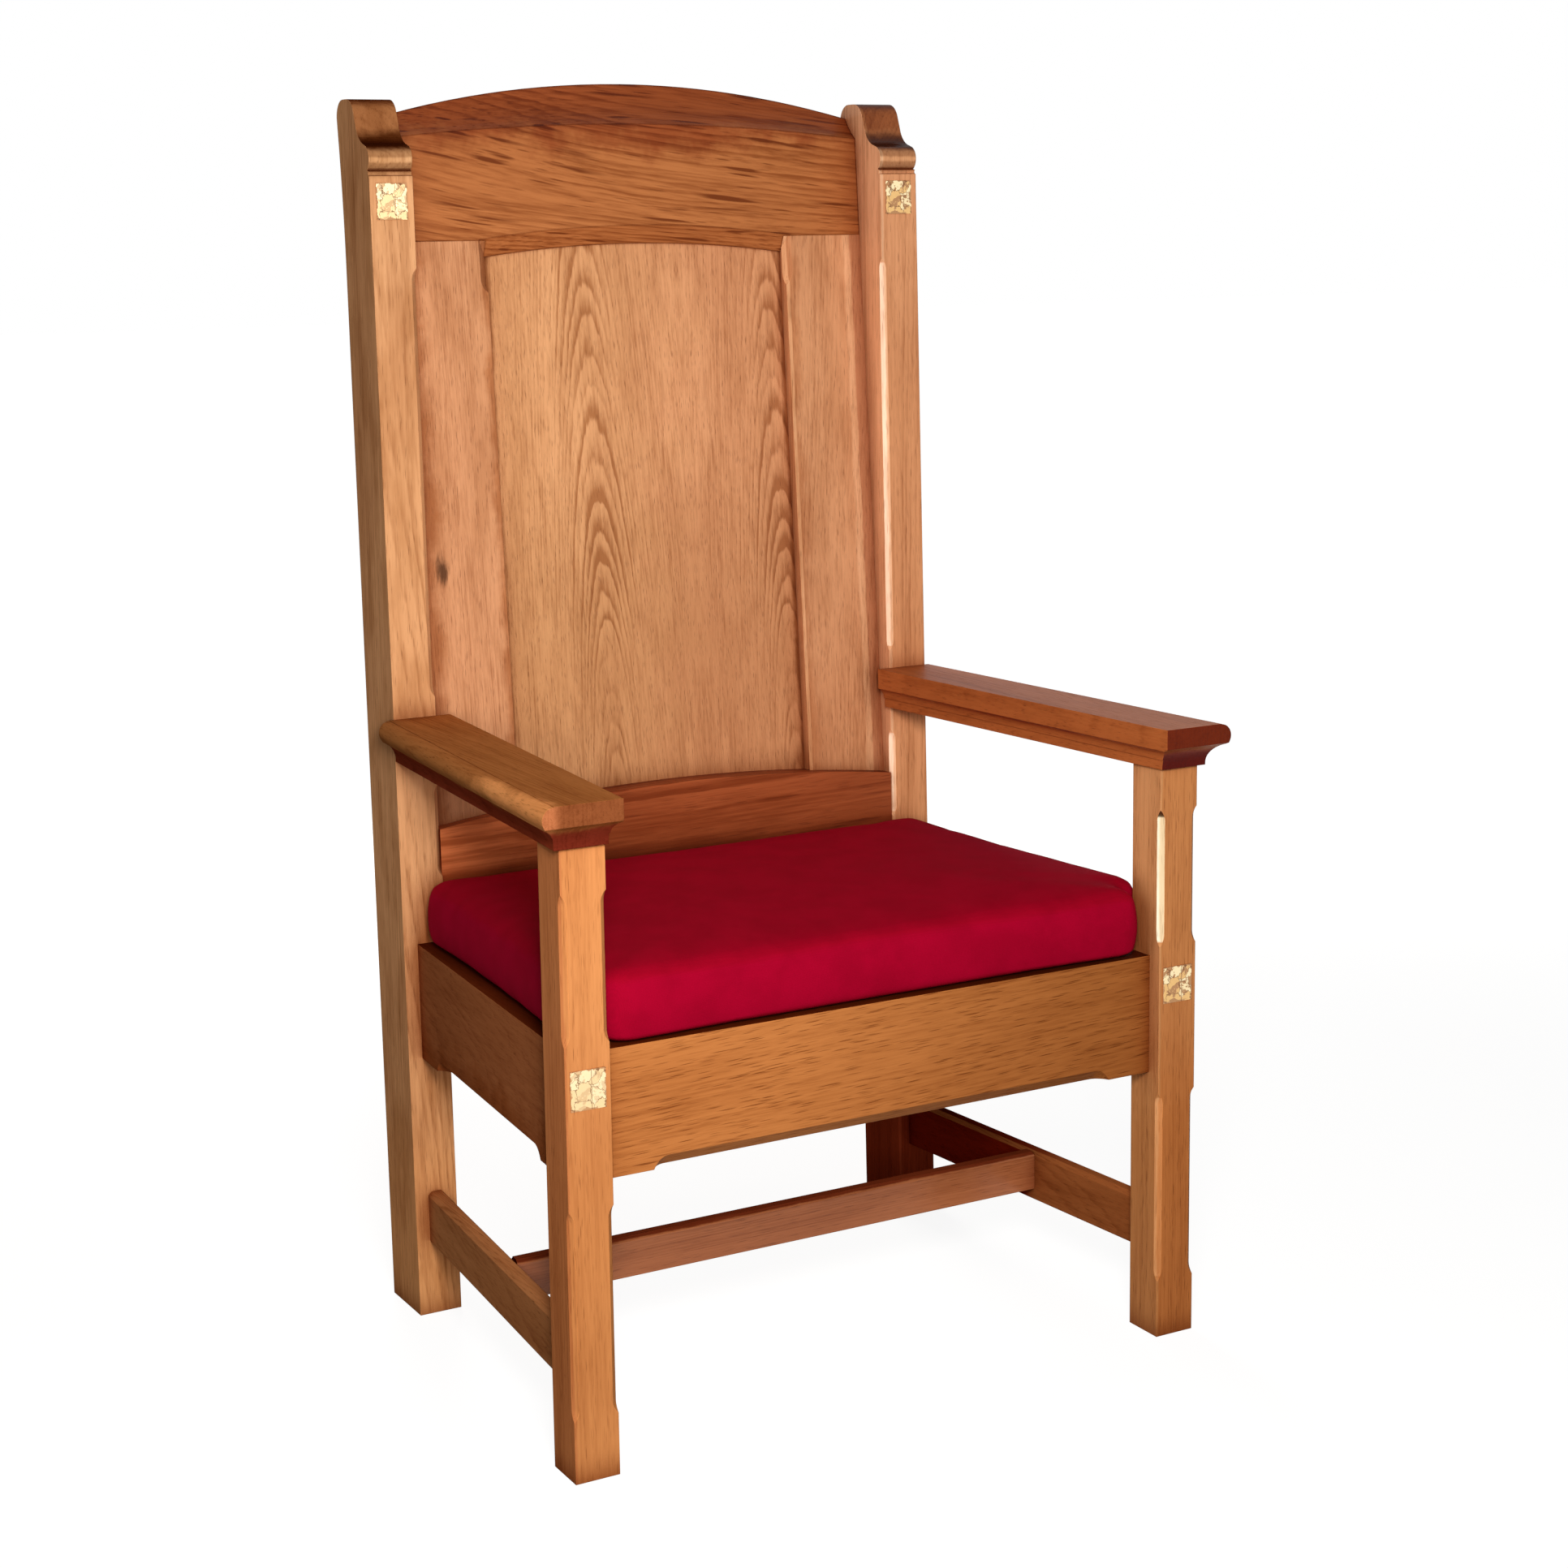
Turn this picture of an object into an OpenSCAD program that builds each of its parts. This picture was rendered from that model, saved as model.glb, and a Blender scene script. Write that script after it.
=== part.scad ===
// Celebrant chair: a high-backed oak armchair with a loose seat cushion.
// X runs across the chair, the front faces -Y, Z is up.
// The origin lies on the floor under the middle of the bounding box.

/* [Frame] */
// Height of the back posts
post_h = 1270; // [1150:5:1530]
// Outside width over the front legs
front_w = 705; // [640:1:850]
// Outside width over the back posts
back_w = 645.5; // [590:0.5:780]
// Front face of the legs to front face of the posts, at the floor
frame_d = 450; // [370:1:545]
// Backward lean of the posts, in degrees
post_lean = 1.335; // [0.5:0.005:3]
// Width of a back post, across the chair
post_w = 46.5; // [40:0.5:56]
// Depth of a back post, front to back
post_d = 76; // [68:0.5:92]
// Width of a front leg, across the chair
leg_w = 45; // [40:0.5:55]
// Depth of a front leg, front to back
leg_d = 46; // [42:0.5:56]

/* [Seat rails] */
// Height of the top of the seat rails
seat_h = 402; // [345:1:440]
// Height of a seat rail from edge to edge
rail_h = 122.5; // [100:0.5:146]
// Thickness of a seat rail
rail_t = 26; // [22:0.5:31]
// Front seat rail, set back from the front face of the legs
front_rail_set = 16.3; // [8:0.1:20]
// Rear seat rail, set back from the front face of the posts
rear_rail_set = 21; // [16:0.5:26]
// Side rail, set in from the outer face of the leg
rail_leg_set = 12.5; // [8:0.5:14]
// Side rail, set in from the outer face of the post
rail_post_set = 15; // [9:0.5:17]
// Width of the stopped chamfer under the rails
rail_chamfer = 12; // [6:0.5:14]
// Square length left at each end of a rail's chamfer
rail_stop = 50; // [35:1:65]

/* [Stretchers] */
// Height of the underside of the side stretchers
stretcher_z = 80; // [60:1:110]
// Height of a side stretcher from edge to edge
stretcher_h = 53.5; // [44:0.5:64]
// Thickness of the stretchers
stretcher_t = 18; // [16:0.5:22]
// Height of the cross stretcher from edge to edge
cross_h = 41.5; // [32:0.5:46]
// Front face of the cross stretcher, behind the front face of the legs
cross_y = 222; // [180:1:266]
// Chamfer along the top edges of the stretchers
stretcher_chamfer = 4; // [2:0.5:5]

/* [Arms] */
// Height of the top of the arms
arm_top = 640.5; // [600:0.5:760]
// Height of an arm from its underside to its top
arm_h = 43.5; // [38:0.5:52]
// Width of an arm over its mouldings
arm_w = 79; // [72:0.5:88]
// How far the arm stands in front of the leg
arm_front = 22; // [18:0.5:26]
// Arm's centre line, outward from the middle of the leg
arm_leg_shift = 4.5; // [3:0.5:7]
// Arm's centre line, outward from the middle of the post
arm_post_shift = 0.5; // [-3:0.5:4]

/* [Back] */
// Backward lean of the framed back, in degrees
back_lean = 4.12; // [3:0.01:5]
// Ledge of the lower rail in front of the framed back
back_ledge = 15; // [10:0.5:20]
// Height of the underside of the lower back rail
lower_rail_z = 420; // [412:1:470]
// Height of the lower back rail's top at the posts
lower_rail_top = 520; // [505:1:580]
// Rise of the lower back rail's top at the middle
lower_rail_rise = 19; // [8:1:24]
// Thickness of the lower back rail
lower_rail_t = 44; // [38:0.5:50]
// Drop from the post tops to the underside of the crest rail
crest_drop = 144; // [120:1:170]
// Rise of the crest's peak above the post tops
crest_peak = 22; // [12:1:34]
// Rise of the crest's top from its ends to its peak
crest_rise = 36; // [20:1:44]
// Thickness of the crest rail
crest_t = 31; // [28:0.5:34]
// Width of a back stile
stile_w = 97.3; // [80:0.1:112]
// Thickness of a back stile
stile_t = 27; // [25:0.5:30]
// Rise of the arch under the crest rail
arch_rise = 12; // [6:0.5:16]
// Top of the arch, below the joint of the crest rail and the stiles
arch_drop = 4.5; // [2:0.5:8]
// Height of the chamfer along the arch
arch_chamfer = 18.5; // [10:0.5:22]
// Depth of the chamfer along the arch
arch_chamfer_d = 10; // [6:0.5:10.5]
// Short chamfer on a stile's inner edge, where the arch's chamfer turns down
stile_chamfer = 8; // [4:0.5:9]
// Length of that chamfer below the crest rail
stile_return = 54; // [40:1:70]
// Thickness of the panel
panel_t = 9; // [7:0.5:11]
// Panel's face, set back from the face of the stiles
panel_set = 12; // [11:0.5:13]

/* [Chamfers and squares] */
// Width of the stopped chamfers on the legs
leg_chamfer = 5.5; // [4:0.5:10]
// Width of the stopped chamfers on the posts
post_chamfer = 5.5; // [3:0.5:8]
// Radius of the scooped end of a chamfer
scoop_r = 20; // [12:1:30]
// Width and height of a gilded square on a leg
leg_tile = [35.5, 37.5];
// Width and height of a gilded square on a post
post_tile = [33, 36.5];
// Depth that a square is let into the wood
tile_depth = 3; // [2:0.5:4]
// Height that a square stands out of the wood
tile_proud = 0.5; // [0.2:0.1:1]

/* [Seat] */
// Thickness of the seat board
board_t = 12; // [9:0.5:18]
// Section of the bearers under the board
bearer = 20; // [16:0.5:24]
// Height of the corner blocks
block_h = 38; // [30:1:48]
// Length of a corner block along the rails
block_l = 85; // [70:1:95]

/* [Cushion] */
// Height of the cushion at its front edge
cushion_h = 72; // [55:1:90]
// Extra height of the cushion's middle
cushion_crown = 12; // [4:1:16]
// Cushion's side, in from the outer face of the side rail
cushion_side = 8; // [5:0.5:14]
// Cushion's front, behind the front face of the legs
cushion_front = 10; // [6:0.5:16]
// Gap between the cushion and the legs
cushion_gap = 9; // [5:0.5:12]
// Rounding of the cushion's upper edges
cushion_round = 18; // [10:1:24]

/* [Joinery] */
// Length of a tenon
tenon_l = 28; // [22:1:32]
// Thickness of a tenon
tenon_t = 10; // [8:0.5:12]
// Shoulder of a tenon at the top and bottom of its rail
tenon_shoulder = 14; // [10:1:20]
// Room left at the bottom of a mortise or groove
mortise_room = 1.5; // [0.5:0.5:3]
// Depth of the panel's edge in its grooves
panel_edge = 8; // [6:0.5:10]
// Play between a loose or screwed piece and its neighbour
play = 0.3; // [0.2:0.1:0.6]

/* [Hidden] */

left = -1;
right = 1;
eps = 0.01;
far = 2000;
$fn = 96;

oak = "#b87945";
oak_back = "#c48855";
gilding = "#e6cf94";
crimson = "#8e0a26";
pine = "#d9bd8c";
birch = "#dcc9a3";
steel = "#9a9da1";

// Faces of the legs and posts on the right-hand side
leg_out = front_w / 2;
leg_in = leg_out - leg_w;
post_out = back_w / 2;
post_in = post_out - post_w;
leg_mid = leg_out - leg_w / 2;
post_mid = post_out - post_w / 2;
arm_z = arm_top - arm_h;
rail_z = seat_h - rail_h;
board_z = seat_h - board_t;

// Front and rear planes of the leaning posts at a height
function post_front(z) = frame_d + z * tan(post_lean);
function post_rear(z) = post_front(z) + post_d;

// Line of the side rails' outer faces, seen from above
rail_x_front = leg_out - rail_leg_set;
rail_x_rear = post_out - rail_post_set;
rail_run = post_front(seat_h - rail_h / 2) - leg_d;
splay = atan((rail_x_front - rail_x_rear) / rail_run);
function side_x(y, inset) = rail_x_front - (y - leg_d) * tan(splay) - inset / cos(splay);

// Faces of the seat frame
front_rail_rear = front_rail_set + rail_t;
function rear_rail_front(z) = post_front(z) + rear_rail_set;

// Top of a post: cove, bead, quirk and rear swell; the face above the cove leans back
cove_r = 25.5;
cove_z = post_h - 21.5;
cove_back = 7;
face_lean = 20;
bead_r = 14;
bead_z = post_h - 61;
bead_proud = 1.5;
quirk_z = post_h - 75.5;
quirk_r = 2.5;
nose_r = 20;
rear_r = 18;
swell = 7.6;
swell_z = post_h - 170;
swell_end = post_h - 20.5;
swell_r = pow(swell_end - swell_z, 2) / (2 * swell);
swell_slope = atan(tan(post_lean) + (swell_end - swell_z) / swell_r);
function swell_y(z) = post_rear(z) + pow(z - swell_z, 2) / (2 * swell_r);
rear_cy = swell_y(swell_end) - rear_r * cos(swell_slope);
face_run = (post_h - nose_r - cove_z + (cove_r + nose_r) * sin(face_lean)) / cos(face_lean);
nose_back = cove_back + (cove_r + nose_r) * cos(face_lean) + face_run * sin(face_lean);

// Plane of the framed back, whose sizes up the slope come from heights
lower_front = frame_d + 2;
back_y0 = post_front(lower_rail_top) + 2 + back_ledge - lower_rail_top * tan(back_lean);
function up(z) = z / cos(back_lean);
crest_z = up(post_h - crest_drop);
crest_peak_z = up(post_h + crest_peak);
crest_rear = back_y0 + crest_peak_z * sin(back_lean) + crest_t * cos(back_lean);

// The chair's depth, and the shift that centres it on the origin
rearmost = max(rear_cy + rear_r, crest_rear);
centre_y = (rearmost - arm_front) / 2;

// Points of an arc in a plane, from one angle to another
arc_step = 7.5;
function arc_n(a, b) = ceil(abs(b - a) / arc_step);
function arc(cx, cy, r, a, b) =
  [for (i = [0:arc_n(a, b)]) let (t = a + (b - a) * i / arc_n(a, b)) [cx + r * cos(t), cy + r * sin(t)]];
function circle_through(half, rise) = (half * half + rise * rise) / (2 * rise);

// Places its children in the chair's own frame, as drawn from the legs' front faces
module chair() translate([0, -centre_y, 0]) children();

// Draws a right-hand piece, or its mirror image on the left
module on_side(side) {
  if (side == right) {
    children();
  } else {
    mirror([1, 0, 0]) children();
  }
}

// A plane that leans back from the floor at y0: local Z runs up it, local Y into it
module leaning(y0, lean) translate([0, y0, 0]) rotate([-lean, 0, 0]) children();

// A profile drawn in Y and Z, extruded along X from x0
module along_x(x0, length) translate([x0, 0, 0]) rotate([90, 0, 90]) linear_extrude(length) children();

// The side rail's frame: X outward from its outer face, Y from the leg to the post
module side_frame() translate([rail_x_front, leg_d, 0]) rotate([0, 0, splay]) children();

// A long cutter for an arris along Z at the origin, whose wood lies at -X and -Y;
// it leaves a flat of the given width from z0 to z1 and scoops out at both ends
module arris_cutter(width, z0, z1) {
  depth = width / sqrt(2);
  scoop = sqrt(2 * scoop_r * depth - depth * depth);
  rotate([0, 0, 45]) {
    translate([-depth, -width, z0 + scoop]) cube([2 * width, 2 * width, z1 - z0 - 2 * scoop]);
    for (z = [z0 + scoop, z1 - scoop])
      translate([scoop_r - depth, 0, z]) rotate([90, 0, 0]) cylinder(r = scoop_r, h = 2 * width, center = true);
  }
}

// A pan-head wood screw along Z: the head's underside is at the origin, the shank runs down
screw_d = 4;
screw_head_d = 8;
screw_head_h = 3;
module screw(length) {
  translate([0, 0, -length]) cylinder(d = screw_d, h = length + eps);
  cylinder(d = screw_head_d, h = screw_head_h);
}

// The hole for that screw, with its counterbore open for the given depth
module screw_hole(length, open) {
  translate([0, 0, -length - play]) cylinder(d = screw_d + play, h = length + 2 * play);
  cylinder(d = screw_head_d + 2 * play, h = open);
}

// Posts

post_tile_z = post_h - 103;
post_chamfers = [[seat_h + 68, arm_z - 27], [arm_top + 20, post_h - 170]];

// The post's side view: leaning square stock with the moulded head
module post_outline() {
  front = post_front(bead_z);
  polygon(concat(
    [[frame_d, 0], [post_front(quirk_z - quirk_r), quirk_z - quirk_r]],
    arc(post_front(quirk_z), quirk_z, quirk_r, -60, 60),
    arc(front - bead_proud + bead_r, bead_z, bead_r, 235, 100),
    arc(front + cove_back, cove_z, cove_r, 280, 360 - face_lean),
    arc(front + nose_back, post_h - nose_r, nose_r, 180 - face_lean, 90),
    arc(rear_cy, post_h - rear_r, rear_r, 90, -swell_slope),
    [for (i = [5:-1:0]) let (z = swell_z + (swell_end - swell_z) * i / 6) [swell_y(z), z]],
    [[post_rear(0), 0]]
  ));
}

module post_blank() along_x(post_in, post_w) post_outline();

module back_post() color(oak)
  difference() {
    post_blank();
    side_rail_tenons(mortise_room);
    side_stretcher_tenons(mortise_room);
    rear_rail_tenon(mortise_room);
    lower_rail_tenon(mortise_room);
    crest_tenon(mortise_room);
    arm_post_tenon(mortise_room);
    post_tile_block(0);
    for (c = post_chamfers)
      translate([post_in, frame_d, 0]) rotate([-post_lean, 0, 0]) rotate([0, 0, 180])
        arris_cutter(post_chamfer, c[0], c[1]);
  }

// Gilded square let into the post's front face
module post_tile_block(proud)
  leaning(frame_d, post_lean)
    translate([post_mid - post_tile[0] / 2, -proud, post_tile_z - post_tile[1] / 2])
      cube([post_tile[0], tile_depth + proud, post_tile[1]]);

module post_tile_piece() color(gilding) post_tile_block(tile_proud);

// Front legs

leg_tile_z = seat_h - 29;
leg_chamfers = [[60, rail_z - 19], [seat_h + 12, arm_z - 42]];
leg_tenon = [24, 24, 20];

module leg_blank() translate([leg_in, 0, 0]) cube([leg_w, leg_d, arm_z]);

module leg_top_tenon(room)
  translate([leg_mid - leg_tenon[0] / 2, (leg_d - leg_tenon[1]) / 2, arm_z - eps])
    cube([leg_tenon[0], leg_tenon[1], leg_tenon[2] + room + eps]);

module front_leg() color(oak) {
  difference() {
    leg_blank();
    front_rail_tenon_blank(mortise_room);
    side_rail_tenons(mortise_room);
    side_stretcher_tenons(mortise_room);
    leg_tile_block(0);
    for (c = leg_chamfers) {
      translate([leg_in, 0, 0]) rotate([0, 0, 180]) arris_cutter(leg_chamfer, c[0], c[1]);
      translate([leg_out, 0, 0]) rotate([0, 0, -90]) arris_cutter(leg_chamfer, c[0], c[1]);
    }
  }
  leg_top_tenon(0);
}

module leg_tile_block(proud)
  translate([leg_mid - leg_tile[0] / 2, -proud, leg_tile_z - leg_tile[1] / 2])
    cube([leg_tile[0], tile_depth + proud, leg_tile[1]]);

module leg_tile_piece() color(gilding) leg_tile_block(tile_proud);

// Seat rails

rail_tenon_z = rail_z + tenon_shoulder;
rail_tenon_h = rail_h - 2 * tenon_shoulder;
front_tenon_y = front_rail_set + (rail_t - tenon_t) / 2;

// The tenons of the front and side rails are mitred where they meet inside the leg
mitre_sum = side_x(leg_d / 2, rail_t / 2) + front_tenon_y + tenon_t / 2;
module mitre_cutter(sign)
  translate([mitre_sum, 0, rail_z]) rotate([0, 0, 45])
    translate([sign > 0 ? -play : play - far, -far / 2, 0]) cube([far, far, rail_h]);

// Space between the leg's rear face and the post's front face
module between_leg_and_post()
  along_x(0, front_w)
    polygon([[leg_d, 0], [frame_d, 0], [post_front(arm_top), arm_top], [leg_d, arm_top]]);

module front_rail_tenon_blank(room)
  translate([leg_in - eps, front_tenon_y, rail_tenon_z])
    cube([tenon_l + room + eps, tenon_t, rail_tenon_h]);

module front_seat_rail() chair() color(oak) {
  difference() {
    translate([-leg_in, front_rail_set, rail_z]) cube([2 * leg_in, rail_t, rail_h]);
    translate([0, front_rail_set, rail_z]) rotate([0, 90, 0]) rotate([0, 0, -90])
      arris_cutter(rail_chamfer, -leg_in + rail_stop, leg_in - rail_stop);
    all_screw_holes();
  }
  for (side = [left, right])
    on_side(side)
      difference() {
        front_rail_tenon_blank(0);
        mitre_cutter(1);
      }
}

module rear_rail_tenon(room)
  leaning(frame_d + rear_rail_set, post_lean)
    translate([post_in - eps, (rail_t - tenon_t) / 2, rail_tenon_z])
      cube([tenon_l + room + eps, tenon_t, rail_tenon_h]);

module rear_seat_rail() chair() color(oak) {
  difference() {
    leaning(frame_d + rear_rail_set, post_lean)
      translate([-post_in, 0, rail_z]) cube([2 * post_in, rail_t, rail_h]);
    all_screw_holes();
  }
  for (side = [left, right])
    on_side(side) rear_rail_tenon(0);
}

module side_rail_tenon_blank(y0, y1)
  side_frame()
    translate([-(rail_t + tenon_t) / 2, y0, rail_tenon_z]) cube([tenon_t, y1 - y0, rail_tenon_h]);

module side_rail_tenons(room) {
  side_rail_tenon_blank(-tenon_l - room, tenon_l);
  side_rail_tenon_blank(rail_run - tenon_l, rail_run + tenon_l - 2 + room);
}

module side_seat_rail() color(oak)
  difference() {
    union() {
      intersection() {
        side_frame() translate([-rail_t, -leg_d, rail_z]) cube([rail_t, frame_d + post_d, rail_h]);
        between_leg_and_post();
      }
      difference() {
        side_rail_tenons(0);
        mitre_cutter(-1);
      }
    }
    side_frame() translate([0, 0, rail_z]) rotate([-90, 0, 0])
      arris_cutter(rail_chamfer, rail_stop, rail_run - rail_stop);
    all_screw_holes();
  }

// Stretchers

stretcher_top = stretcher_z + stretcher_h;
stretcher_shoulder = 8;
cross_z = stretcher_top - cross_h;
cross_tenon_l = 10;
cross_shoulder = 7;

// Bar with both top edges chamfered, drawn across X and Z
module stretcher_section(thick, z0, z1)
  polygon([
    [-thick, z0], [0, z0], [0, z1 - stretcher_chamfer], [-stretcher_chamfer, z1],
    [-thick + stretcher_chamfer, z1], [-thick, z1 - stretcher_chamfer]
  ]);

module side_stretcher_bar()
  side_frame()
    translate([0, frame_d, 0]) rotate([90, 0, 0]) linear_extrude(frame_d + leg_d)
      stretcher_section(stretcher_t, stretcher_z, stretcher_top);

module side_stretcher_tenons(room)
  side_frame()
    translate([-(stretcher_t + tenon_t) / 2, -tenon_l - room, stretcher_z + stretcher_shoulder])
      cube([tenon_t, rail_run + 2 * (tenon_l + room) - 3, stretcher_h - 2 * stretcher_shoulder]);

module side_stretcher() color(oak)
  difference() {
    union() {
      intersection() {
        side_stretcher_bar();
        between_leg_and_post();
      }
      side_stretcher_tenons(0);
    }
    cross_tenons(mortise_room / 2);
  }

module cross_tenons(room)
  translate([0, cross_y + (stretcher_t - tenon_t) / 2, cross_z + cross_shoulder])
    intersection() {
      translate([-far / 2, 0, 0]) cube([far, tenon_t, cross_h - 2 * cross_shoulder]);
      cross_reach(cross_tenon_l + room);
    }

// Space between the side stretchers, reaching a given depth into them
module cross_reach(depth)
  translate([0, -cross_y, -far / 2])
    linear_extrude(far)
      polygon([
        [-side_x(0, stretcher_t - depth), 0], [side_x(0, stretcher_t - depth), 0],
        [side_x(frame_d, stretcher_t - depth), frame_d], [-side_x(frame_d, stretcher_t - depth), frame_d]
      ]);

module cross_stretcher() chair() color(oak) {
  intersection() {
    translate([-far / 2, cross_y + stretcher_t, 0]) rotate([90, 0, 90]) linear_extrude(far)
      stretcher_section(stretcher_t, cross_z, stretcher_top);
    translate([0, cross_y, 0]) cross_reach(0);
  }
  cross_tenons(0);
}

// Arms

arm_x_front = leg_mid + arm_leg_shift;
arm_x_rear = post_mid + arm_post_shift;
arm_run = post_front(arm_z) - leg_d / 2;
arm_splay = atan((arm_x_front - arm_x_rear) / arm_run);
arm_cove_r = 20.5;
arm_nose_r = 12;
arm_nose_z = 12.5;
arm_fascia = 20;
arm_fillet_h = 2.5;
arm_tenon_h = 30;
arm_side_over = arm_w / 2 - leg_w / 2 + arm_leg_shift;
arm_inner_over = arm_w / 2 - leg_w / 2 - arm_leg_shift;

// The arm's frame: X across it from the centre line, Y back from the middle of the leg
module arm_frame() translate([arm_x_front, leg_d / 2, 0]) rotate([0, 0, arm_splay]) children();

// Cove that rises outward from the fillet under a moulding, ending under the fascia
function cove(reach, flip) =
  [for (p = arc(arm_cove_r, 0, arm_cove_r, 180, 110)) [flip * (4.5 + p[0] - reach), arm_z + arm_fillet_h + p[1]]];

// Section across the arm: square fascia inside, rounded nose outside, coves below
module arm_section() {
  half = arm_w / 2;
  polygon(concat(
    [[-half, arm_top], [-half, arm_top - arm_fascia - 2]],
    arc(-half - 5, arm_z + 10, 12.5, 65, 0),
    [[-half + 8.5, arm_z + 10], [-half + 8.5, arm_z], [half - arm_side_over + 4.5, arm_z]],
    cove(-half + arm_side_over, 1),
    arc(half - arm_nose_r, arm_top - arm_nose_z, arm_nose_r, -27, 90),
    [[half - arm_nose_r, arm_top]]
  ));
}

// Side view of the arm's front end: upright fascia over the cove
module arm_front_section()
  polygon(concat(
    [[frame_d + post_d, arm_top + 1], [-arm_front, arm_top + 1], [-arm_front, arm_top - arm_fascia]],
    [for (i = [len(cove(0, -1)) - 1:-1:0]) cove(0, -1)[i]],
    [[-4.5, arm_z - 1], [frame_d + post_d, arm_z - 1]]
  ));

module arm_post_tenon(room)
  arm_frame()
    translate([-arm_w / 4 + 6, arm_run - tenon_l, arm_z + 7])
      cube([arm_w / 2 - 12, 2 * tenon_l + room - 4, arm_tenon_h]);

module arm() color(oak)
  difference() {
    union() {
      intersection() {
        arm_frame()
          translate([0, frame_d + post_d, 0]) rotate([90, 0, 0]) linear_extrude(frame_d + post_d + 2 * leg_d)
            arm_section();
        along_x(0, front_w) arm_front_section();
        along_x(0, front_w)
          polygon([
            [-arm_front - 1, 0], [frame_d, 0], [post_front(arm_top + 1), arm_top + 1], [-arm_front - 1, arm_top + 1]
          ]);
      }
      arm_post_tenon(0);
    }
    leg_top_tenon(mortise_room);
  }

// Framed back

panel_half = post_in - stile_w;
crest_r = circle_through(post_in, crest_rise);
arch_r = circle_through(panel_half, arch_rise);
arch_z = crest_z - arch_drop;
lower_r = circle_through(post_in, lower_rail_rise);
lower_peak = lower_rail_top + lower_rail_rise;
weather_rise = 15;
weather_h = 45;
weather_d = crest_t - 5;
weather_r = circle_through(post_in, weather_rise);
weather_bow = 70;
crest_tenon_h = 72;
stile_tenon_l = 30;
stile_tenon_edge = 8;

// A round bar along local Y whose top lies at the given height
module round_under(top, r, y0, depth)
  translate([0, y0 + depth, top - r]) rotate([90, 0, 0]) cylinder(r = r, h = depth, $fn = 360);

module back_plane() leaning(back_y0, back_lean) children();

// Hollow that thins the crest toward its top, turned about an axis behind and below it
module crest_weathering() {
  chord = sqrt(weather_h * weather_h + weather_d * weather_d);
  tilt = atan2(weather_h, weather_d);
  sag = weather_bow - sqrt(weather_bow * weather_bow - chord * chord / 4);
  mid_a = tilt - 90;
  mid = [weather_d / 2, weather_h / 2] + (weather_bow - sag) * [-sin(tilt), cos(tilt)];
  half_a = asin(chord / 2 / weather_bow);
  translate([0, 0, crest_peak_z - weather_h - weather_r]) rotate([-90, 0, 0])
    rotate_extrude($fn = 360)
      polygon(concat(
        [for (p = arc(mid[0], mid[1], weather_bow, mid_a - half_a, mid_a + half_a)) [weather_r + p[1], p[0]]],
        [[weather_r + 4 * weather_h, weather_d], [weather_r + 4 * weather_h, -5], [weather_r, -5]]
      ));
}

module crest_tenon(room)
  back_plane()
    translate([post_in - eps, panel_set - 1, crest_z + tenon_shoulder])
      cube([tenon_l + room + eps, tenon_t, crest_tenon_h]);

module stile_top_tenon(room)
  back_plane()
    translate([panel_half + panel_edge + stile_tenon_edge, panel_set, crest_z - eps])
      cube([stile_w - panel_edge - 2 * stile_tenon_edge, panel_t, stile_tenon_l + room + eps]);

module stile_foot_tenon(room)
  back_plane()
    translate([panel_half + panel_edge + stile_tenon_edge, panel_set, up(lower_rail_top) - stile_tenon_l - room])
      cube([stile_w - panel_edge - 2 * stile_tenon_edge, panel_t, 2 * stile_tenon_l]);

// The panel's outline, or with room its grooves: arched at the top and at the foot
module panel_body(room) {
  edge = panel_edge + room;
  back_plane()
    difference() {
      intersection() {
        translate([-panel_half - edge, panel_set, up(lower_rail_z)])
          cube([2 * (panel_half + edge), panel_t, far]);
        round_under(arch_z + edge, arch_r + edge, 0, crest_t);
      }
      round_under(up(lower_peak) - edge, lower_r - edge, 0, crest_t);
    }
}

// The chamfer cut along the arch, which mitres at each corner and runs a little way down the stiles
module arch_chamfer_cut()
  intersection() {
    translate([0, 0, arch_z - arch_r]) rotate([-90, 0, 0])
      cylinder(r1 = arch_r + arch_chamfer, r2 = arch_r, h = arch_chamfer_d, $fn = 360);
    union() {
      translate([-panel_half, -1, arch_z - arch_rise - 1])
        cube([2 * panel_half, crest_t, arch_rise + arch_chamfer + 2]);
      for (side = [left, right])
        on_side(side) translate([panel_half, 0, 0]) rotate([0, 0, 180])
          arris_cutter(stile_chamfer, crest_z - stile_return, crest_z + stile_return);
    }
  }

module crest_rail() chair() color(oak) {
  difference() {
    back_plane()
      difference() {
        union() {
          intersection() {
            translate([-post_in, 0, crest_z]) cube([2 * post_in, crest_t, crest_peak_z - crest_z]);
            round_under(crest_peak_z, crest_r, 0, crest_t);
          }
          translate([-panel_half, 0, arch_z - arch_rise])
            cube([2 * panel_half, crest_t, arch_drop + arch_rise + 1]);
        }
        crest_weathering();
        round_under(arch_z, arch_r, -1, crest_t + 2);
        arch_chamfer_cut();
      }
    panel_body(mortise_room);
    for (side = [left, right])
      on_side(side) stile_top_tenon(mortise_room);
  }
  for (side = [left, right])
    on_side(side) crest_tenon(0);
}

module lower_rail_blank()
  leaning(lower_front, post_lean)
    intersection() {
      translate([-post_in, 0, lower_rail_z]) cube([2 * post_in, lower_rail_t, lower_peak - lower_rail_z]);
      round_under(lower_peak, lower_r, 0, lower_rail_t);
    }

module lower_rail_tenon(room)
  leaning(lower_front, post_lean)
    translate([post_in - eps, (lower_rail_t - tenon_t) / 2, lower_rail_z + tenon_shoulder])
      cube([tenon_l + room + eps, tenon_t, lower_rail_top - lower_rail_z - 2 * tenon_shoulder]);

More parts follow.
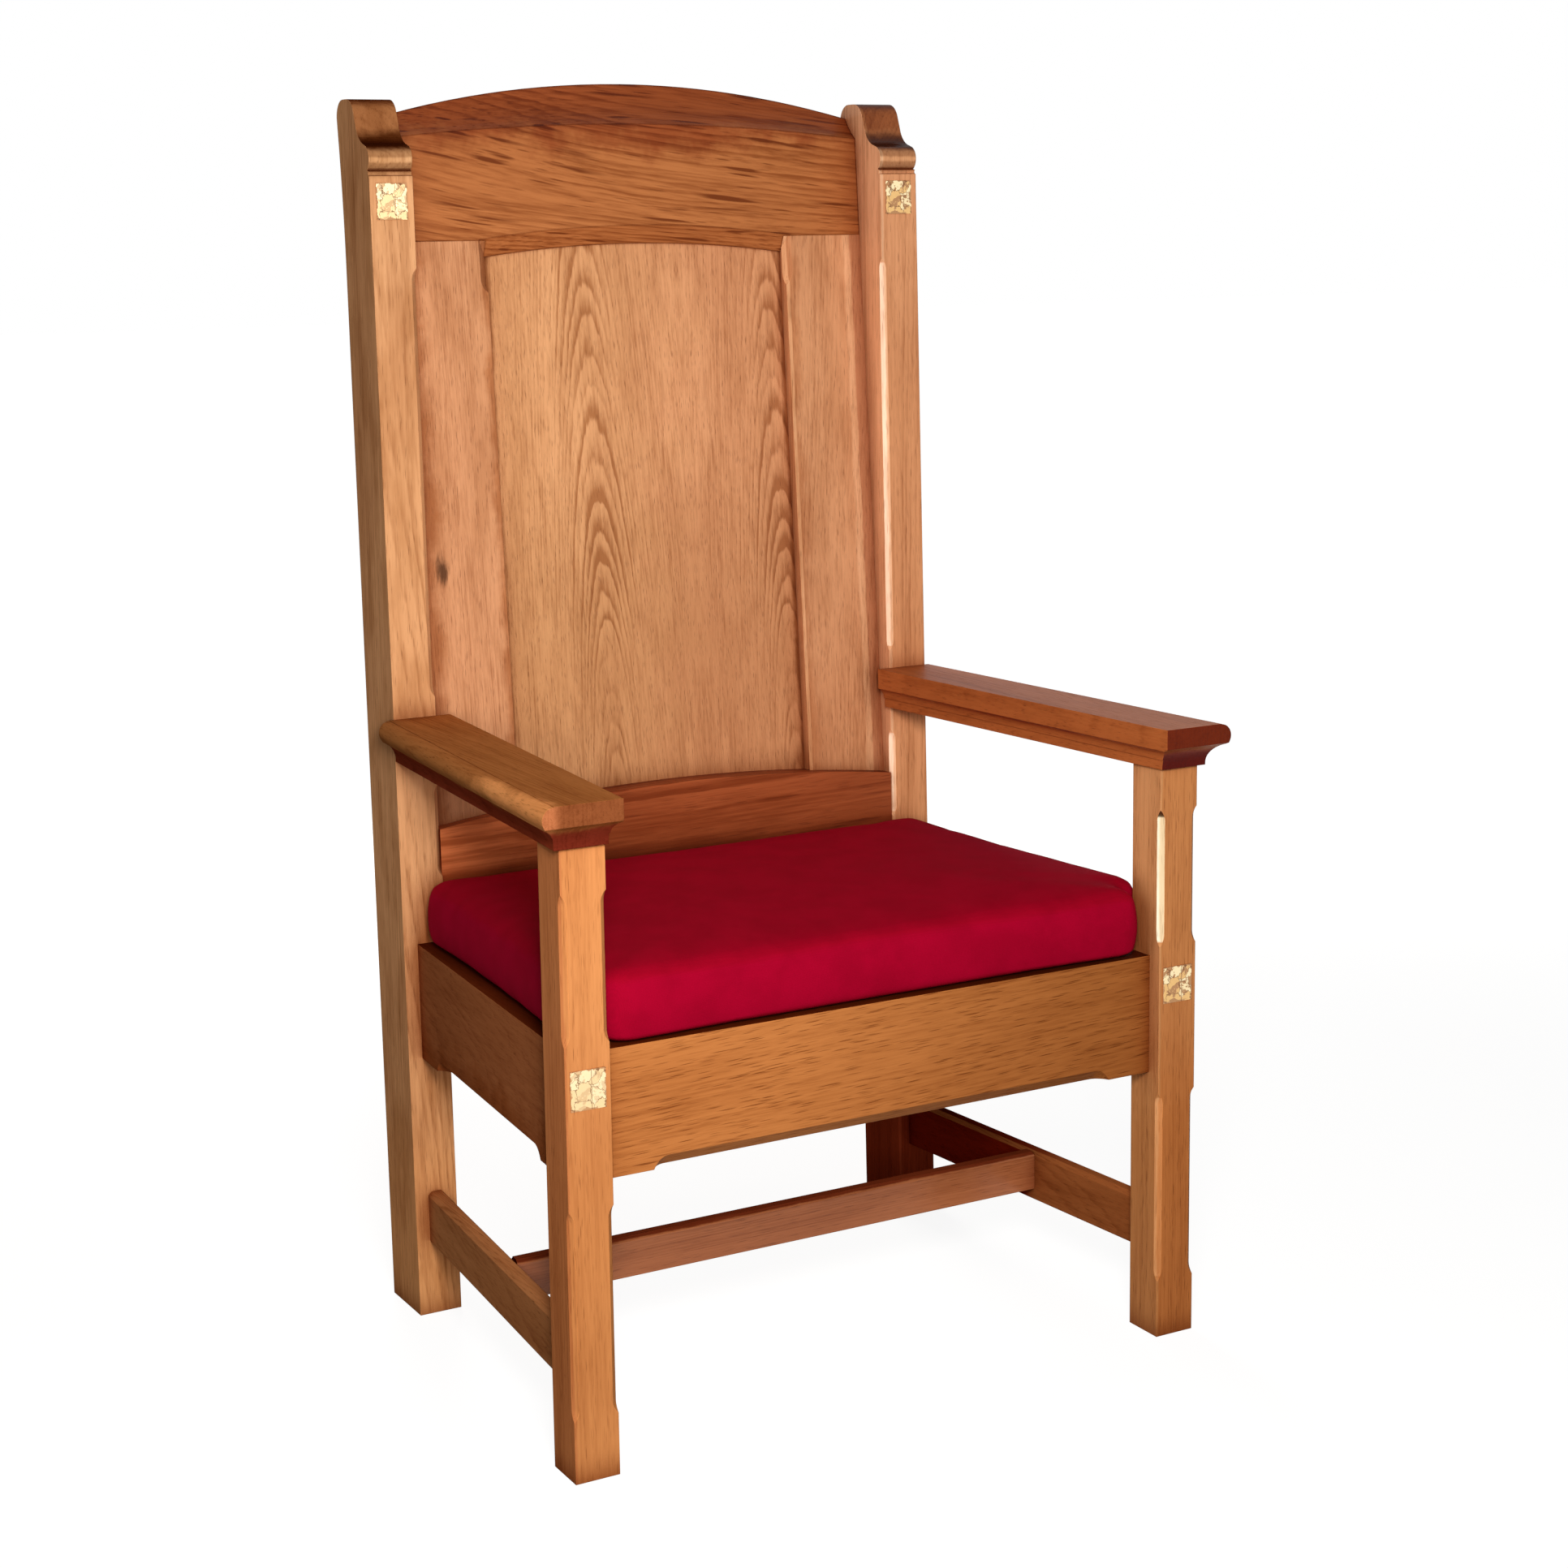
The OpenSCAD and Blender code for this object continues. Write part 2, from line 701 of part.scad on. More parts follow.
module lower_back_rail() chair() color(oak) {
  difference() {
    lower_rail_blank();
    panel_body(mortise_room);
    for (side = [left, right])
      on_side(side) stile_foot_tenon(mortise_room);
  }
  for (side = [left, right])
    on_side(side) lower_rail_tenon(0);
}

module back_stile() color(oak_back) {
  difference() {
    back_plane()
      translate([panel_half, 0, up(lower_rail_z)]) cube([stile_w, stile_t, crest_z - up(lower_rail_z)]);
    lower_rail_clearance();
    panel_body(mortise_room);
    back_plane() arch_chamfer_cut();
  }
  stile_top_tenon(0);
  stile_foot_tenon(0);
}

// Everything below the crowned top of the lower rail
module lower_rail_clearance()
  leaning(lower_front, post_lean)
    round_under(lower_peak, lower_r, -post_d, 3 * post_d);

module back_panel() chair() color(oak_back) panel_body(0);

// Seat board and its supports

board_clear = 1;
bearer_z = board_z - bearer;
block_z = board_z - block_h;
front_bearer_half = side_x(front_rail_rear, rail_t) - block_l - 12;
rear_bearer_half = post_in - block_l - 8;
side_bearer_y = [block_l + 22, rail_run - block_l - 12];
screw_z = board_z - block_h / 2;
bearer_screw_l = bearer + 12;
board_screw_l = bearer + 4;
head_set = 4;

module seat_board() chair() color(birch)
  difference() {
    translate([0, 0, board_z]) linear_extrude(board_t)
      polygon([
        [-side_x(front_rail_rear, rail_t) + board_clear, front_rail_rear + board_clear],
        [side_x(front_rail_rear, rail_t) - board_clear, front_rail_rear + board_clear],
        [side_x(rear_rail_front(seat_h), rail_t) - board_clear, rear_rail_front(board_z) - board_clear],
        [-side_x(rear_rail_front(seat_h), rail_t) + board_clear, rear_rail_front(board_z) - board_clear]
      ]);
    for (side = [left, right])
      on_side(side) {
        translate([leg_in - board_clear, 0, 0]) cube([leg_w, leg_d + board_clear, arm_z]);
        translate([-board_clear, -board_clear, 0]) post_blank();
      }
    board_screw_places() screw_hole(board_screw_l, board_t);
  }

module seat_bearer_front() chair() color(pine)
  difference() {
    translate([-front_bearer_half, front_rail_rear, bearer_z]) cube([2 * front_bearer_half, bearer, bearer]);
    all_screw_holes();
  }

module seat_bearer_rear() chair() color(pine)
  difference() {
    translate([-rear_bearer_half, rear_rail_front(board_z) - bearer, bearer_z])
      cube([2 * rear_bearer_half, bearer + 2, bearer]);
    leaning(frame_d + rear_rail_set, post_lean)
      translate([-front_w / 2, 0, 0]) cube([front_w, far, far]);
    all_screw_holes();
  }

module seat_bearer_side() color(pine)
  difference() {
    side_frame()
      translate([-rail_t - bearer, side_bearer_y[0], bearer_z])
        cube([bearer, side_bearer_y[1] - side_bearer_y[0], bearer]);
    all_screw_holes();
  }

module corner_block_front() color(pine)
  difference() {
    translate([0, 0, block_z]) linear_extrude(block_h)
      polygon([
        [side_x(front_rail_rear, rail_t), front_rail_rear],
        [side_x(front_rail_rear + block_l, rail_t), front_rail_rear + block_l],
        [side_x(front_rail_rear + block_l, rail_t) - 12, front_rail_rear + block_l],
        [side_x(front_rail_rear, rail_t) - block_l, front_rail_rear + 12],
        [side_x(front_rail_rear, rail_t) - block_l, front_rail_rear]
      ]);
    translate([leg_in - play, 0, 0]) cube([leg_w, leg_d + play, arm_z]);
    all_screw_holes();
  }

module corner_block_rear() color(pine) {
  y1 = rear_rail_front(block_z);
  difference() {
    translate([0, 0, block_z]) linear_extrude(block_h)
      polygon([
        [side_x(y1 + 2, rail_t), y1 + 2], [post_in - block_l, y1 + 2], [post_in - block_l, y1 - 12],
        [side_x(y1 - block_l - 12, rail_t) - 12, y1 - block_l - 12],
        [side_x(y1 - block_l - 12, rail_t), y1 - block_l - 12]
      ]);
    leaning(frame_d + rear_rail_set, post_lean)
      cube([front_w, far, far]);
    translate([-play, -play, 0]) post_blank();
    all_screw_holes();
  }
}

// Places of the screws; each points its child's shank along the drilling

module corner_screw_places()
  for (side = [left, right])
    on_side(side) {
      translate([side_x(front_rail_rear, rail_t) - 48, front_rail_rear + 24, screw_z]) rotate([-90, 0, 0]) children();
      side_frame() translate([-rail_t - 24, 52, screw_z]) rotate([0, -90, 0]) children();
      translate([post_in - 42, rear_rail_front(screw_z) - 24, screw_z]) rotate([90, 0, 0]) children();
      side_frame() translate([-rail_t - 24, rail_run - 36, screw_z]) rotate([0, -90, 0]) children();
    }

module bearer_screw_places() {
  z = bearer_z + bearer / 2;
  reach = bearer - head_set;
  for (side = [left, right])
    on_side(side) {
      translate([front_bearer_half - 30, front_rail_rear + reach, z]) rotate([-90, 0, 0]) children();
      translate([rear_bearer_half - 30, rear_rail_front(z) - reach, z]) rotate([90, 0, 0]) children();
      for (y = [side_bearer_y[0] + 25, side_bearer_y[1] - 25])
        side_frame() translate([-rail_t - reach, y, z]) rotate([0, -90, 0]) children();
    }
}

module board_screw_places() {
  z = seat_h - head_set;
  for (side = [left, right])
    on_side(side) {
      translate([front_bearer_half - 60, front_rail_rear + bearer / 2, z]) children();
      translate([rear_bearer_half - 60, rear_rail_front(z) - bearer / 2, z]) children();
      for (y = [side_bearer_y[0] + 55, side_bearer_y[1] - 55])
        side_frame() translate([-rail_t - bearer / 2, y, z]) children();
    }
}

corner_screw_l = 24 + 18;

module all_screw_holes() {
  corner_screw_places() screw_hole(corner_screw_l, 2 * block_l);
  bearer_screw_places() screw_hole(bearer_screw_l, bearer);
  board_screw_places() screw_hole(board_screw_l, bearer);
}

module corner_block_screws() chair() color(steel) corner_screw_places() screw(corner_screw_l);
module bearer_screws() chair() color(steel) bearer_screw_places() screw(bearer_screw_l);
module board_screws() chair() color(steel) board_screw_places() screw(board_screw_l);

// Cushion

cushion_z = seat_h + play;
cushion_foot = 9;
notch_x = leg_in - cushion_gap;
notch_y = leg_d + cushion_gap;
cushion_rear = post_front(seat_h) - 2;
cushion_corner_r = [26, 8, 24, 22];
corner_steps = 5;
draw_in = 4;
side_bulge = 2.5;

// Right-hand corners of the cushion's plan, from the front to the back
cushion_corners = [
  [notch_x, cushion_front], [notch_x, notch_y],
  [side_x(notch_y, cushion_side), notch_y], [side_x(cushion_rear, cushion_side), cushion_rear]
];
function mirrored(list) = [for (i = [len(list) - 1:-1:0]) [-list[i][0], list[i][1]]];
plan_corners = concat(cushion_corners, mirrored(cushion_corners));
plan_radii = concat(cushion_corner_r, [for (i = [3:-1:0]) cushion_corner_r[i]]);
plan_n = len(plan_corners);
function unit(v) = v / norm(v);
function turn(v) = [-v[1], v[0]];
function edge_dir(i) = unit(plan_corners[(i + 1) % plan_n] - plan_corners[i % plan_n]);

// A corner moved inward by d along the normals of both its edges
function inset_corner(i, d) =
  let (a = turn(edge_dir(i + plan_n - 1)), b = turn(edge_dir(i)))
  plan_corners[i] + d * (a + b) / (1 + a * b);

// The rounded corner i of the plan after an inset of d
function corner_points(i, d) =
  let (
    e0 = edge_dir(i + plan_n - 1), e1 = edge_dir(i),
    bend = e0[0] * e1[1] - e0[1] * e1[0],
    r = max(3, bend > 0 ? plan_radii[i] - d : plan_radii[i] + d),
    angle = acos(e0 * e1), side = sign(bend),
    centre = inset_corner(i, d) - r * tan(angle / 2) * e0 + side * r * turn(e0)
  )
  [for (k = [0:corner_steps - 1])
    let (t = side * angle * k / (corner_steps - 1))
    centre - side * r * [cos(t) * turn(e0)[0] - sin(t) * turn(e0)[1], sin(t) * turn(e0)[0] + cos(t) * turn(e0)[1]]];

// Points along the edge after corner i, drawn in at the middle
edge_steps = [0, 0, 4, 7, 4, 0, 0, 7];
function edge_points(i, d) =
  let (
    p = corner_points(i, d)[corner_steps - 1], q = corner_points((i + 1) % plan_n, d)[0],
    n = edge_steps[i], inward = turn(unit(q - p))
  )
  [for (k = [1:1:n]) let (t = k / (n + 1)) p + t * (q - p) + draw_in * 4 * t * (1 - t) * inward];

function cushion_ring(d) = [for (i = [0:plan_n - 1]) each concat(corner_points(i, d), edge_points(i, d))];

// Heights and insets of the rings: rounded foot, slightly full side, rounded shoulder
cushion_top = cushion_z + cushion_h;
wall_steps = 3;
function wall_inset(t) = -side_bulge * sin(180 * t);
cushion_levels = concat(
  [for (a = [-90:45:0]) [cushion_foot * (1 - cos(a)), cushion_z + cushion_foot * (1 + sin(a))]],
  [for (k = [1:wall_steps]) let (t = k / (wall_steps + 1))
    [wall_inset(t), cushion_z + cushion_foot + t * (cushion_h - cushion_foot - cushion_round)]],
  [for (a = [0:22.5:90]) [cushion_round * (1 - cos(a)), cushion_top - cushion_round * (1 - sin(a))]]
);
plan_centre = [0, (cushion_front + cushion_rear) / 2];
crown_scales = [0.88, 0.7, 0.48, 0.24];
function crown(s) = cushion_top + cushion_crown * (1 - pow(s, 2.2));
top_ring = cushion_ring(cushion_round);
foot_ring = cushion_ring(cushion_foot);

cushion_rings = concat(
  [[for (p = foot_ring) let (q = plan_centre + 0.5 * (p - plan_centre)) [q[0], q[1], cushion_z]]],
  [for (level = cushion_levels) [for (p = cushion_ring(level[0])) [p[0], p[1], level[1]]]],
  [for (s = crown_scales) [for (p = top_ring) let (q = plan_centre + s * (p - plan_centre)) [q[0], q[1], crown(s)]]]
);
ring_n = len(top_ring);
ring_count = len(cushion_rings);

module cushion() chair() color(crimson)
  polyhedron(
    points = concat(
      [for (ring = cushion_rings) each ring],
      [[plan_centre[0], plan_centre[1], cushion_z], [plan_centre[0], plan_centre[1], crown(0)]]
    ),
    faces = concat(
      [for (k = [0:ring_count - 2], i = [0:ring_n - 1]) let (j = (i + 1) % ring_n)
        each [
          [k * ring_n + i, (k + 1) * ring_n + i, (k + 1) * ring_n + j],
          [k * ring_n + i, (k + 1) * ring_n + j, k * ring_n + j]
        ]],
      [for (i = [0:ring_n - 1]) [ring_count * ring_n, i, (i + 1) % ring_n]],
      [for (i = [0:ring_n - 1]) let (top = (ring_count - 1) * ring_n)
        [ring_count * ring_n + 1, top + (i + 1) % ring_n, top + i]]
    ),
    convexity = 4
  );

// Left and right pieces

module back_post_left() chair() on_side(left) back_post();
module back_post_right() chair() on_side(right) back_post();
module front_leg_left() chair() on_side(left) front_leg();
module front_leg_right() chair() on_side(right) front_leg();
module side_seat_rail_left() chair() on_side(left) side_seat_rail();
module side_seat_rail_right() chair() on_side(right) side_seat_rail();
module side_stretcher_left() chair() on_side(left) side_stretcher();
module side_stretcher_right() chair() on_side(right) side_stretcher();
module arm_left() chair() on_side(left) arm();
module arm_right() chair() on_side(right) arm();
module back_stile_left() chair() on_side(left) back_stile();
module back_stile_right() chair() on_side(right) back_stile();
module post_tile_left() chair() on_side(left) post_tile_piece();
module post_tile_right() chair() on_side(right) post_tile_piece();
module leg_tile_left() chair() on_side(left) leg_tile_piece();
module leg_tile_right() chair() on_side(right) leg_tile_piece();
module seat_bearer_left() chair() on_side(left) seat_bearer_side();
module seat_bearer_right() chair() on_side(right) seat_bearer_side();
module corner_block_front_left() chair() on_side(left) corner_block_front();
module corner_block_front_right() chair() on_side(right) corner_block_front();
module corner_block_rear_left() chair() on_side(left) corner_block_rear();
module corner_block_rear_right() chair() on_side(right) corner_block_rear();

back_post_left();
back_post_right();
front_leg_left();
front_leg_right();
front_seat_rail();
rear_seat_rail();
side_seat_rail_left();
side_seat_rail_right();
side_stretcher_left();
side_stretcher_right();
cross_stretcher();
arm_left();
arm_right();
crest_rail();
lower_back_rail();
back_stile_left();
back_stile_right();
back_panel();
post_tile_left();
post_tile_right();
leg_tile_left();
leg_tile_right();
seat_board();
seat_bearer_front();
seat_bearer_rear();
seat_bearer_left();
seat_bearer_right();
corner_block_front_left();
corner_block_front_right();
corner_block_rear_left();
corner_block_rear_right();
corner_block_screws();
bearer_screws();
board_screws();
cushion();
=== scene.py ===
import math
import bmesh
import bpy
import numpy as np
from mathutils import Matrix, Vector


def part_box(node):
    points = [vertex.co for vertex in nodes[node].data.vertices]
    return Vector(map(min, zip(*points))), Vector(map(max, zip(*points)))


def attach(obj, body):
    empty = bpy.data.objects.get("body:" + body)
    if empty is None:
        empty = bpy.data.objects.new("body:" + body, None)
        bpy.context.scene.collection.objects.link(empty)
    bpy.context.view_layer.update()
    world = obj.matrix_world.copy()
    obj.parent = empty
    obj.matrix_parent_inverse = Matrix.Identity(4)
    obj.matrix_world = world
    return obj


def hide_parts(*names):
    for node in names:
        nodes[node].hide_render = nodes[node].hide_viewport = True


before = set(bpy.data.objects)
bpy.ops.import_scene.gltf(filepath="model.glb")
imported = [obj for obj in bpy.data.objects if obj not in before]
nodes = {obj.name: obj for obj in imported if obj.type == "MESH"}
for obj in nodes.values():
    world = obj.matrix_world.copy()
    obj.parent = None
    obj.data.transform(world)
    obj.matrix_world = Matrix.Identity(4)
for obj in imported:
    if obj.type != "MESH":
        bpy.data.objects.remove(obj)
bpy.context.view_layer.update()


# Back posts: one oak plank for each side, from the floor to the moulded top, sawn with the grain upright.
# The oak of the whole chair is made here: rings round a pith line, pores as long dashes, fibres and slow
# stains, finished with oil and wax. Each piece is cut from its own place in the tree.
def feed(tree, socket, value):
    """Links a socket to another node's output, or sets it to a plain value."""
    if isinstance(value, bpy.types.NodeSocket):
        tree.links.new(value, socket)
    else:
        socket.default_value = value


def put(tree, kind, inputs=None, **settings):
    """A shader node with its settings and inputs."""
    made = tree.nodes.new("ShaderNode" + kind)
    for name, value in settings.items():
        setattr(made, name, value)
    for name, value in (inputs or {}).items():
        feed(tree, made.inputs[name], value)
    return made


def calc(tree, operation, *values):
    """The result of one Math node."""
    made = tree.nodes.new("ShaderNodeMath")
    made.operation = operation
    for socket, value in zip(made.inputs, values):
        feed(tree, socket, value)
    return made.outputs[0]


def step_up(tree, value, low, high, bottom=0.0, top=1.0):
    """A smooth rise from bottom to top while value goes from low to high."""
    return put(tree, "MapRange", {"Value": value, "From Min": low, "From Max": high, "To Min": bottom,
                                  "To Max": top}, interpolation_type="SMOOTHSTEP").outputs[0]


mix_amount, mix_first, mix_second, mix_result = 0, 6, 7, 2


def mixed(tree, amount, first, second, how="MIX"):
    """Two colours mixed by amount, on the sockets that a Mix node has for colours."""
    made = tree.nodes.new("ShaderNodeMix")
    made.data_type = "RGBA"
    made.blend_type = how
    feed(tree, made.inputs[mix_amount], amount)
    feed(tree, made.inputs[mix_first], first)
    feed(tree, made.inputs[mix_second], second)
    return made.outputs[mix_result]


def tinted(tree, amount, colour, tint):
    """A colour multiplied by a tint, as far as amount says."""
    return mixed(tree, amount, colour, mixed(tree, 1.0, colour, tint, "MULTIPLY"))


def cloud(tree, vector, stretch, detail=2.0, roughness=0.55):
    """Noise from 0 to 1 with a different count of waves per metre along each axis."""
    wide = put(tree, "VectorMath", {0: vector, 1: stretch}, operation="MULTIPLY").outputs[0]
    return put(tree, "TexNoise", {"Vector": wide, "Scale": 1.0, "Detail": detail, "Roughness": roughness})


def centred(tree, noise):
    """A noise colour moved so that its values lie about zero."""
    return put(tree, "VectorMath", {0: noise, 1: (0.5, 0.5, 0.5)}, operation="SUBTRACT").outputs[0]


def paint(red, green, blue):
    """A colour given as on a paint chart, from 0 to 255, in the renderer's linear values: the sRGB curve."""
    chart = np.array((red, green, blue)) / 255
    linear = np.where(chart <= 0.04045, chart / 12.92, ((chart + 0.055) / 1.055) ** 2.4)
    return (*linear.tolist(), 1.0)


def group_with(name, inputs, outputs):
    """An empty node group with named sockets, its input and output nodes."""
    group = bpy.data.node_groups.new(name, "ShaderNodeTree")
    for label, value in inputs.items():
        kind = "NodeSocketFloat" if isinstance(value, float) else "NodeSocketVector"
        if isinstance(value, tuple) and len(value) == 4:
            kind = "NodeSocketColor"
        socket = group.interface.new_socket(name=label, in_out="INPUT", socket_type=kind)
        socket.default_value = value
    for label, kind in outputs.items():
        group.interface.new_socket(name=label, in_out="OUTPUT", socket_type="NodeSocket" + kind)
    return group, group.nodes.new("NodeGroupInput").outputs, group.nodes.new("NodeGroupOutput").inputs


def oak_grain():
    """Oak in the solid, with the grain along Z of its Vector, bent by slow noise. The distance from a
    leaning pith line, divided by the ring width and hurried or held back by noise, gives the rings, and each
    ring starts dark and porous and pales outwards. Flame makes them stronger opposite the pith, where they
    cross the face as arches. Pores and the longer cracks are stretched cells, and fibres, mottling and stains
    are stretched noise. Faces across the grain take the end tint, and painted shade in corners darkens the
    wood where its mask says. Edges, where the rounded normal has turned from the flat one, take the edge
    tint."""
    g, given, out = group_with("oak_grain", {
        "Vector": (0.0, 0.0, 0.0), "Grain": (0.0, 0.0, 1.0), "Colour": (0.6, 0.3, 0.13, 1.0),
        "Ring Tint": (0.56, 0.44, 0.35, 1.0), "Pore Tint": (0.34, 0.22, 0.15, 1.0),
        "End Tint": (0.5, 0.33, 0.27, 1.0), "Edge Tint": (1.5, 1.42, 1.3, 1.0),
        "Pith Across": 0.0, "Pith Depth": -0.05, "Taper": 0.0, "Sway": 0.012, "Ring Width": 0.0025,
        "Rings": 0.7, "Flame": 0.0, "Pores": 0.6, "Pore Size": 1.0, "Fibres": 0.7, "Streaks": 0.5,
        "Stains": 0.5, "Mottle": 0.2, "Cracks": 0.0, "Crack Size": 1.0, "Wear": 0.4, "Edge Width": 0.0011,
        "Edge Low": 0.93, "Edge High": 0.992, "Painted Shade": 0.0,
    }, {"Color": "Color", "Roughness": "Float", "Height": "Float", "Normal": "Vector"})
    drift = centred(g, cloud(g, given["Vector"], (5.0, 5.0, 1.3), 1.0).outputs["Color"])
    drift = put(g, "VectorMath", {0: drift, "Scale": given["Sway"]}, operation="SCALE").outputs[0]
    at = put(g, "VectorMath", {0: given["Vector"], 1: drift}, operation="ADD").outputs[0]
    xyz = put(g, "SeparateXYZ", {0: at}).outputs
    across = calc(g, "SUBTRACT", xyz[0], given["Pith Across"])
    depth = calc(g, "SUBTRACT", xyz[1], given["Pith Depth"])
    depth = calc(g, "MULTIPLY_ADD", xyz[2], given["Taper"], depth)
    radius = calc(g, "ADD", calc(g, "MULTIPLY", across, across), calc(g, "MULTIPLY", depth, depth))
    radius = calc(g, "SQRT", radius)
    ring = calc(g, "DIVIDE", radius, given["Ring Width"])
    most_hurry, most_ripple = 1.7, 0.8
    hurry = put(g, "TexNoise", {"W": ring, "Scale": 0.3, "Detail": 1.0}, noise_dimensions="1D").outputs[0]
    ring = calc(g, "MULTIPLY_ADD", hurry, most_hurry, ring)
    ripple = cloud(g, at, (130.0, 130.0, 16.0)).outputs[0]
    ring = calc(g, "MULTIPLY_ADD", ripple, most_ripple, ring)
    within = calc(g, "FRACT", ring)
    chance = put(g, "TexWhiteNoise", {"W": calc(g, "FLOOR", ring)}, noise_dimensions="1D").outputs[0]
    early = calc(g, "POWER", calc(g, "SUBTRACT", 1.0, within), 1.8)
    early = calc(g, "MULTIPLY", early, step_up(g, within, 0.0, 0.22))
    fade = step_up(g, cloud(g, at, (16.0, 16.0, 5.0)).outputs[0], 0.3, 0.65, 0.25, 1.0)
    band = calc(g, "MULTIPLY", calc(g, "MULTIPLY", early, calc(g, "MULTIPLY_ADD", chance, 0.9, 0.35)), fade)
    opposite = step_up(g, calc(g, "ABSOLUTE", across), 0.008, 0.05, 1.25, -0.45)
    band = calc(g, "MULTIPLY", band, calc(g, "MULTIPLY_ADD", opposite, given["Flame"], 1.0))

    def cells(per_metre, size):
        """The place in the wood, stretched to a count of cells for each metre and divided by their size."""
        spread = put(g, "VectorMath", {0: at, 1: per_metre}, operation="MULTIPLY").outputs[0]
        return put(g, "VectorMath", {0: spread, "Scale": calc(g, "DIVIDE", 1.0, given[size])},
                   operation="SCALE").outputs[0]

    pore = put(g, "TexVoronoi", {"Vector": cells((1000.0, 1000.0, 48.0), "Pore Size"), "Scale": 1.0})
    open_pore = put(g, "SeparateXYZ", {0: pore.outputs["Color"]}).outputs[0]
    hole = calc(g, "MULTIPLY", step_up(g, pore.outputs["Distance"], 0.16, 0.42, 1.0, 0.0),
                step_up(g, open_pore, 0.35, 0.75))
    hole = calc(g, "MULTIPLY", hole, calc(g, "MULTIPLY_ADD", early, 0.75, 0.4))

    fibre = cloud(g, at, (330.0, 330.0, 15.0), 4.0, 0.65).outputs[0]
    streak = cloud(g, at, (75.0, 75.0, 1.6), 4.0).outputs[0]
    stain = cloud(g, at, (7.0, 7.0, 2.4)).outputs[0]
    mottle = cloud(g, at, (34.0, 34.0, 9.0), 3.0).outputs[0]
    cell = cells((160.0, 160.0, 7.0), "Crack Size")
    bent = put(g, "TexNoise", {"Vector": cell, "Scale": 0.7, "Detail": 2.0}).outputs["Color"]
    cell = put(g, "VectorMath", {0: bent, 1: (1.3, 1.3, 0.3), 2: cell}, operation="MULTIPLY_ADD").outputs[0]
    dash = put(g, "TexVoronoi", {"Vector": cell, "Scale": 1.0})
    open_dash = put(g, "SeparateXYZ", {0: dash.outputs["Color"]}).outputs[0]
    crack = step_up(g, dash.outputs["Distance"], 0.1, 0.36, 1.0, 0.0)
    crack = calc(g, "MULTIPLY", crack, given["Cracks"])
    crack = calc(g, "MULTIPLY", crack, step_up(g, open_dash, 0.25, 0.7))
    fibre_middle, fibre_strength = 0.42, 1.6
    streak_middle, streak_strength = 0.46, 1.8
    tone = calc(g, "MULTIPLY", band, given["Rings"])
    tone = calc(g, "MULTIPLY_ADD", calc(g, "SUBTRACT", fibre, fibre_middle),
                calc(g, "MULTIPLY", given["Fibres"], fibre_strength), tone)
    tone = calc(g, "MULTIPLY_ADD", calc(g, "SUBTRACT", streak, streak_middle),
                calc(g, "MULTIPLY", given["Streaks"], streak_strength), tone)
    tone = step_up(g, tone, -0.1, 1.05)
    colour = tinted(g, tone, given["Colour"], given["Ring Tint"])
    dark = mixed(g, 1.0, given["Colour"], given["Pore Tint"], "MULTIPLY")
    colour = mixed(g, calc(g, "MULTIPLY", hole, given["Pores"]), colour, dark)
    colour = mixed(g, crack, colour, dark)
    stain_tint = (0.72, 0.62, 0.56, 1.0)
    mottle_tint = (0.68, 0.58, 0.48, 1.0)
    # The next tint darkens the wood as painted shade in corners.
    painted_shade_tint = (0.42, 0.27, 0.2, 1.0)
    dull = calc(g, "MULTIPLY", step_up(g, stain, 0.38, 0.72), given["Stains"])
    colour = tinted(g, dull, colour, stain_tint)
    dull = calc(g, "MULTIPLY", step_up(g, mottle, 0.42, 0.66), given["Mottle"])
    colour = tinted(g, dull, colour, mottle_tint)

    facing = put(g, "TexCoord").outputs["Normal"]
    ends = put(g, "VectorMath", {0: facing, 1: given["Grain"]}, operation="DOT_PRODUCT").outputs["Value"]
    ends = step_up(g, calc(g, "ABSOLUTE", ends), 0.55, 0.95)
    colour = tinted(g, ends, colour, given["End Tint"])
    # Painted shade in corners, as far as the mask given from outside says.
    colour = tinted(g, given["Painted Shade"], colour, painted_shade_tint)

    eased = put(g, "Bevel", {"Radius": given["Edge Width"]}, samples=4).outputs[0]
    flat = put(g, "NewGeometry").outputs["True Normal"]
    turned = put(g, "VectorMath", {0: eased, 1: flat}, operation="DOT_PRODUCT").outputs["Value"]
    edge = step_up(g, turned, given["Edge Low"], given["Edge High"], 1.0, 0.0)
    edge = calc(g, "MULTIPLY", edge, given["Wear"])
    feed(g, out["Color"], tinted(g, edge, colour, given["Edge Tint"]))
    smoothest, pore_roughness, fibre_roughness = 0.44, 0.22, 0.12
    rough = calc(g, "MULTIPLY_ADD", hole, pore_roughness, smoothest)
    feed(g, out["Roughness"], calc(g, "MULTIPLY_ADD", fibre, fibre_roughness, rough))
    hole_depth, fibre_height, band_depth = -1.0, 0.35, -0.35
    height = calc(g, "MULTIPLY", fibre, fibre_height)
    height = calc(g, "MULTIPLY_ADD", calc(g, "MAXIMUM", hole, crack), hole_depth, height)
    feed(g, out["Height"], calc(g, "MULTIPLY_ADD", band, band_depth, height))
    feed(g, out["Normal"], eased)
    return g


oak_tree = oak_grain()
UPRIGHT, CROSSWISE, FORWARD = "Z", "X", "Y"
turn_to = {UPRIGHT: (0.0, 0.0, 0.0), CROSSWISE: (0.0, -math.pi / 2, 0.0), FORWARD: (math.pi / 2, 0.0, 0.0)}
grain_of = {UPRIGHT: (0.0, 0.0, 1.0), CROSSWISE: (1.0, 0.0, 0.0), FORWARD: (0.0, 1.0, 0.0)}


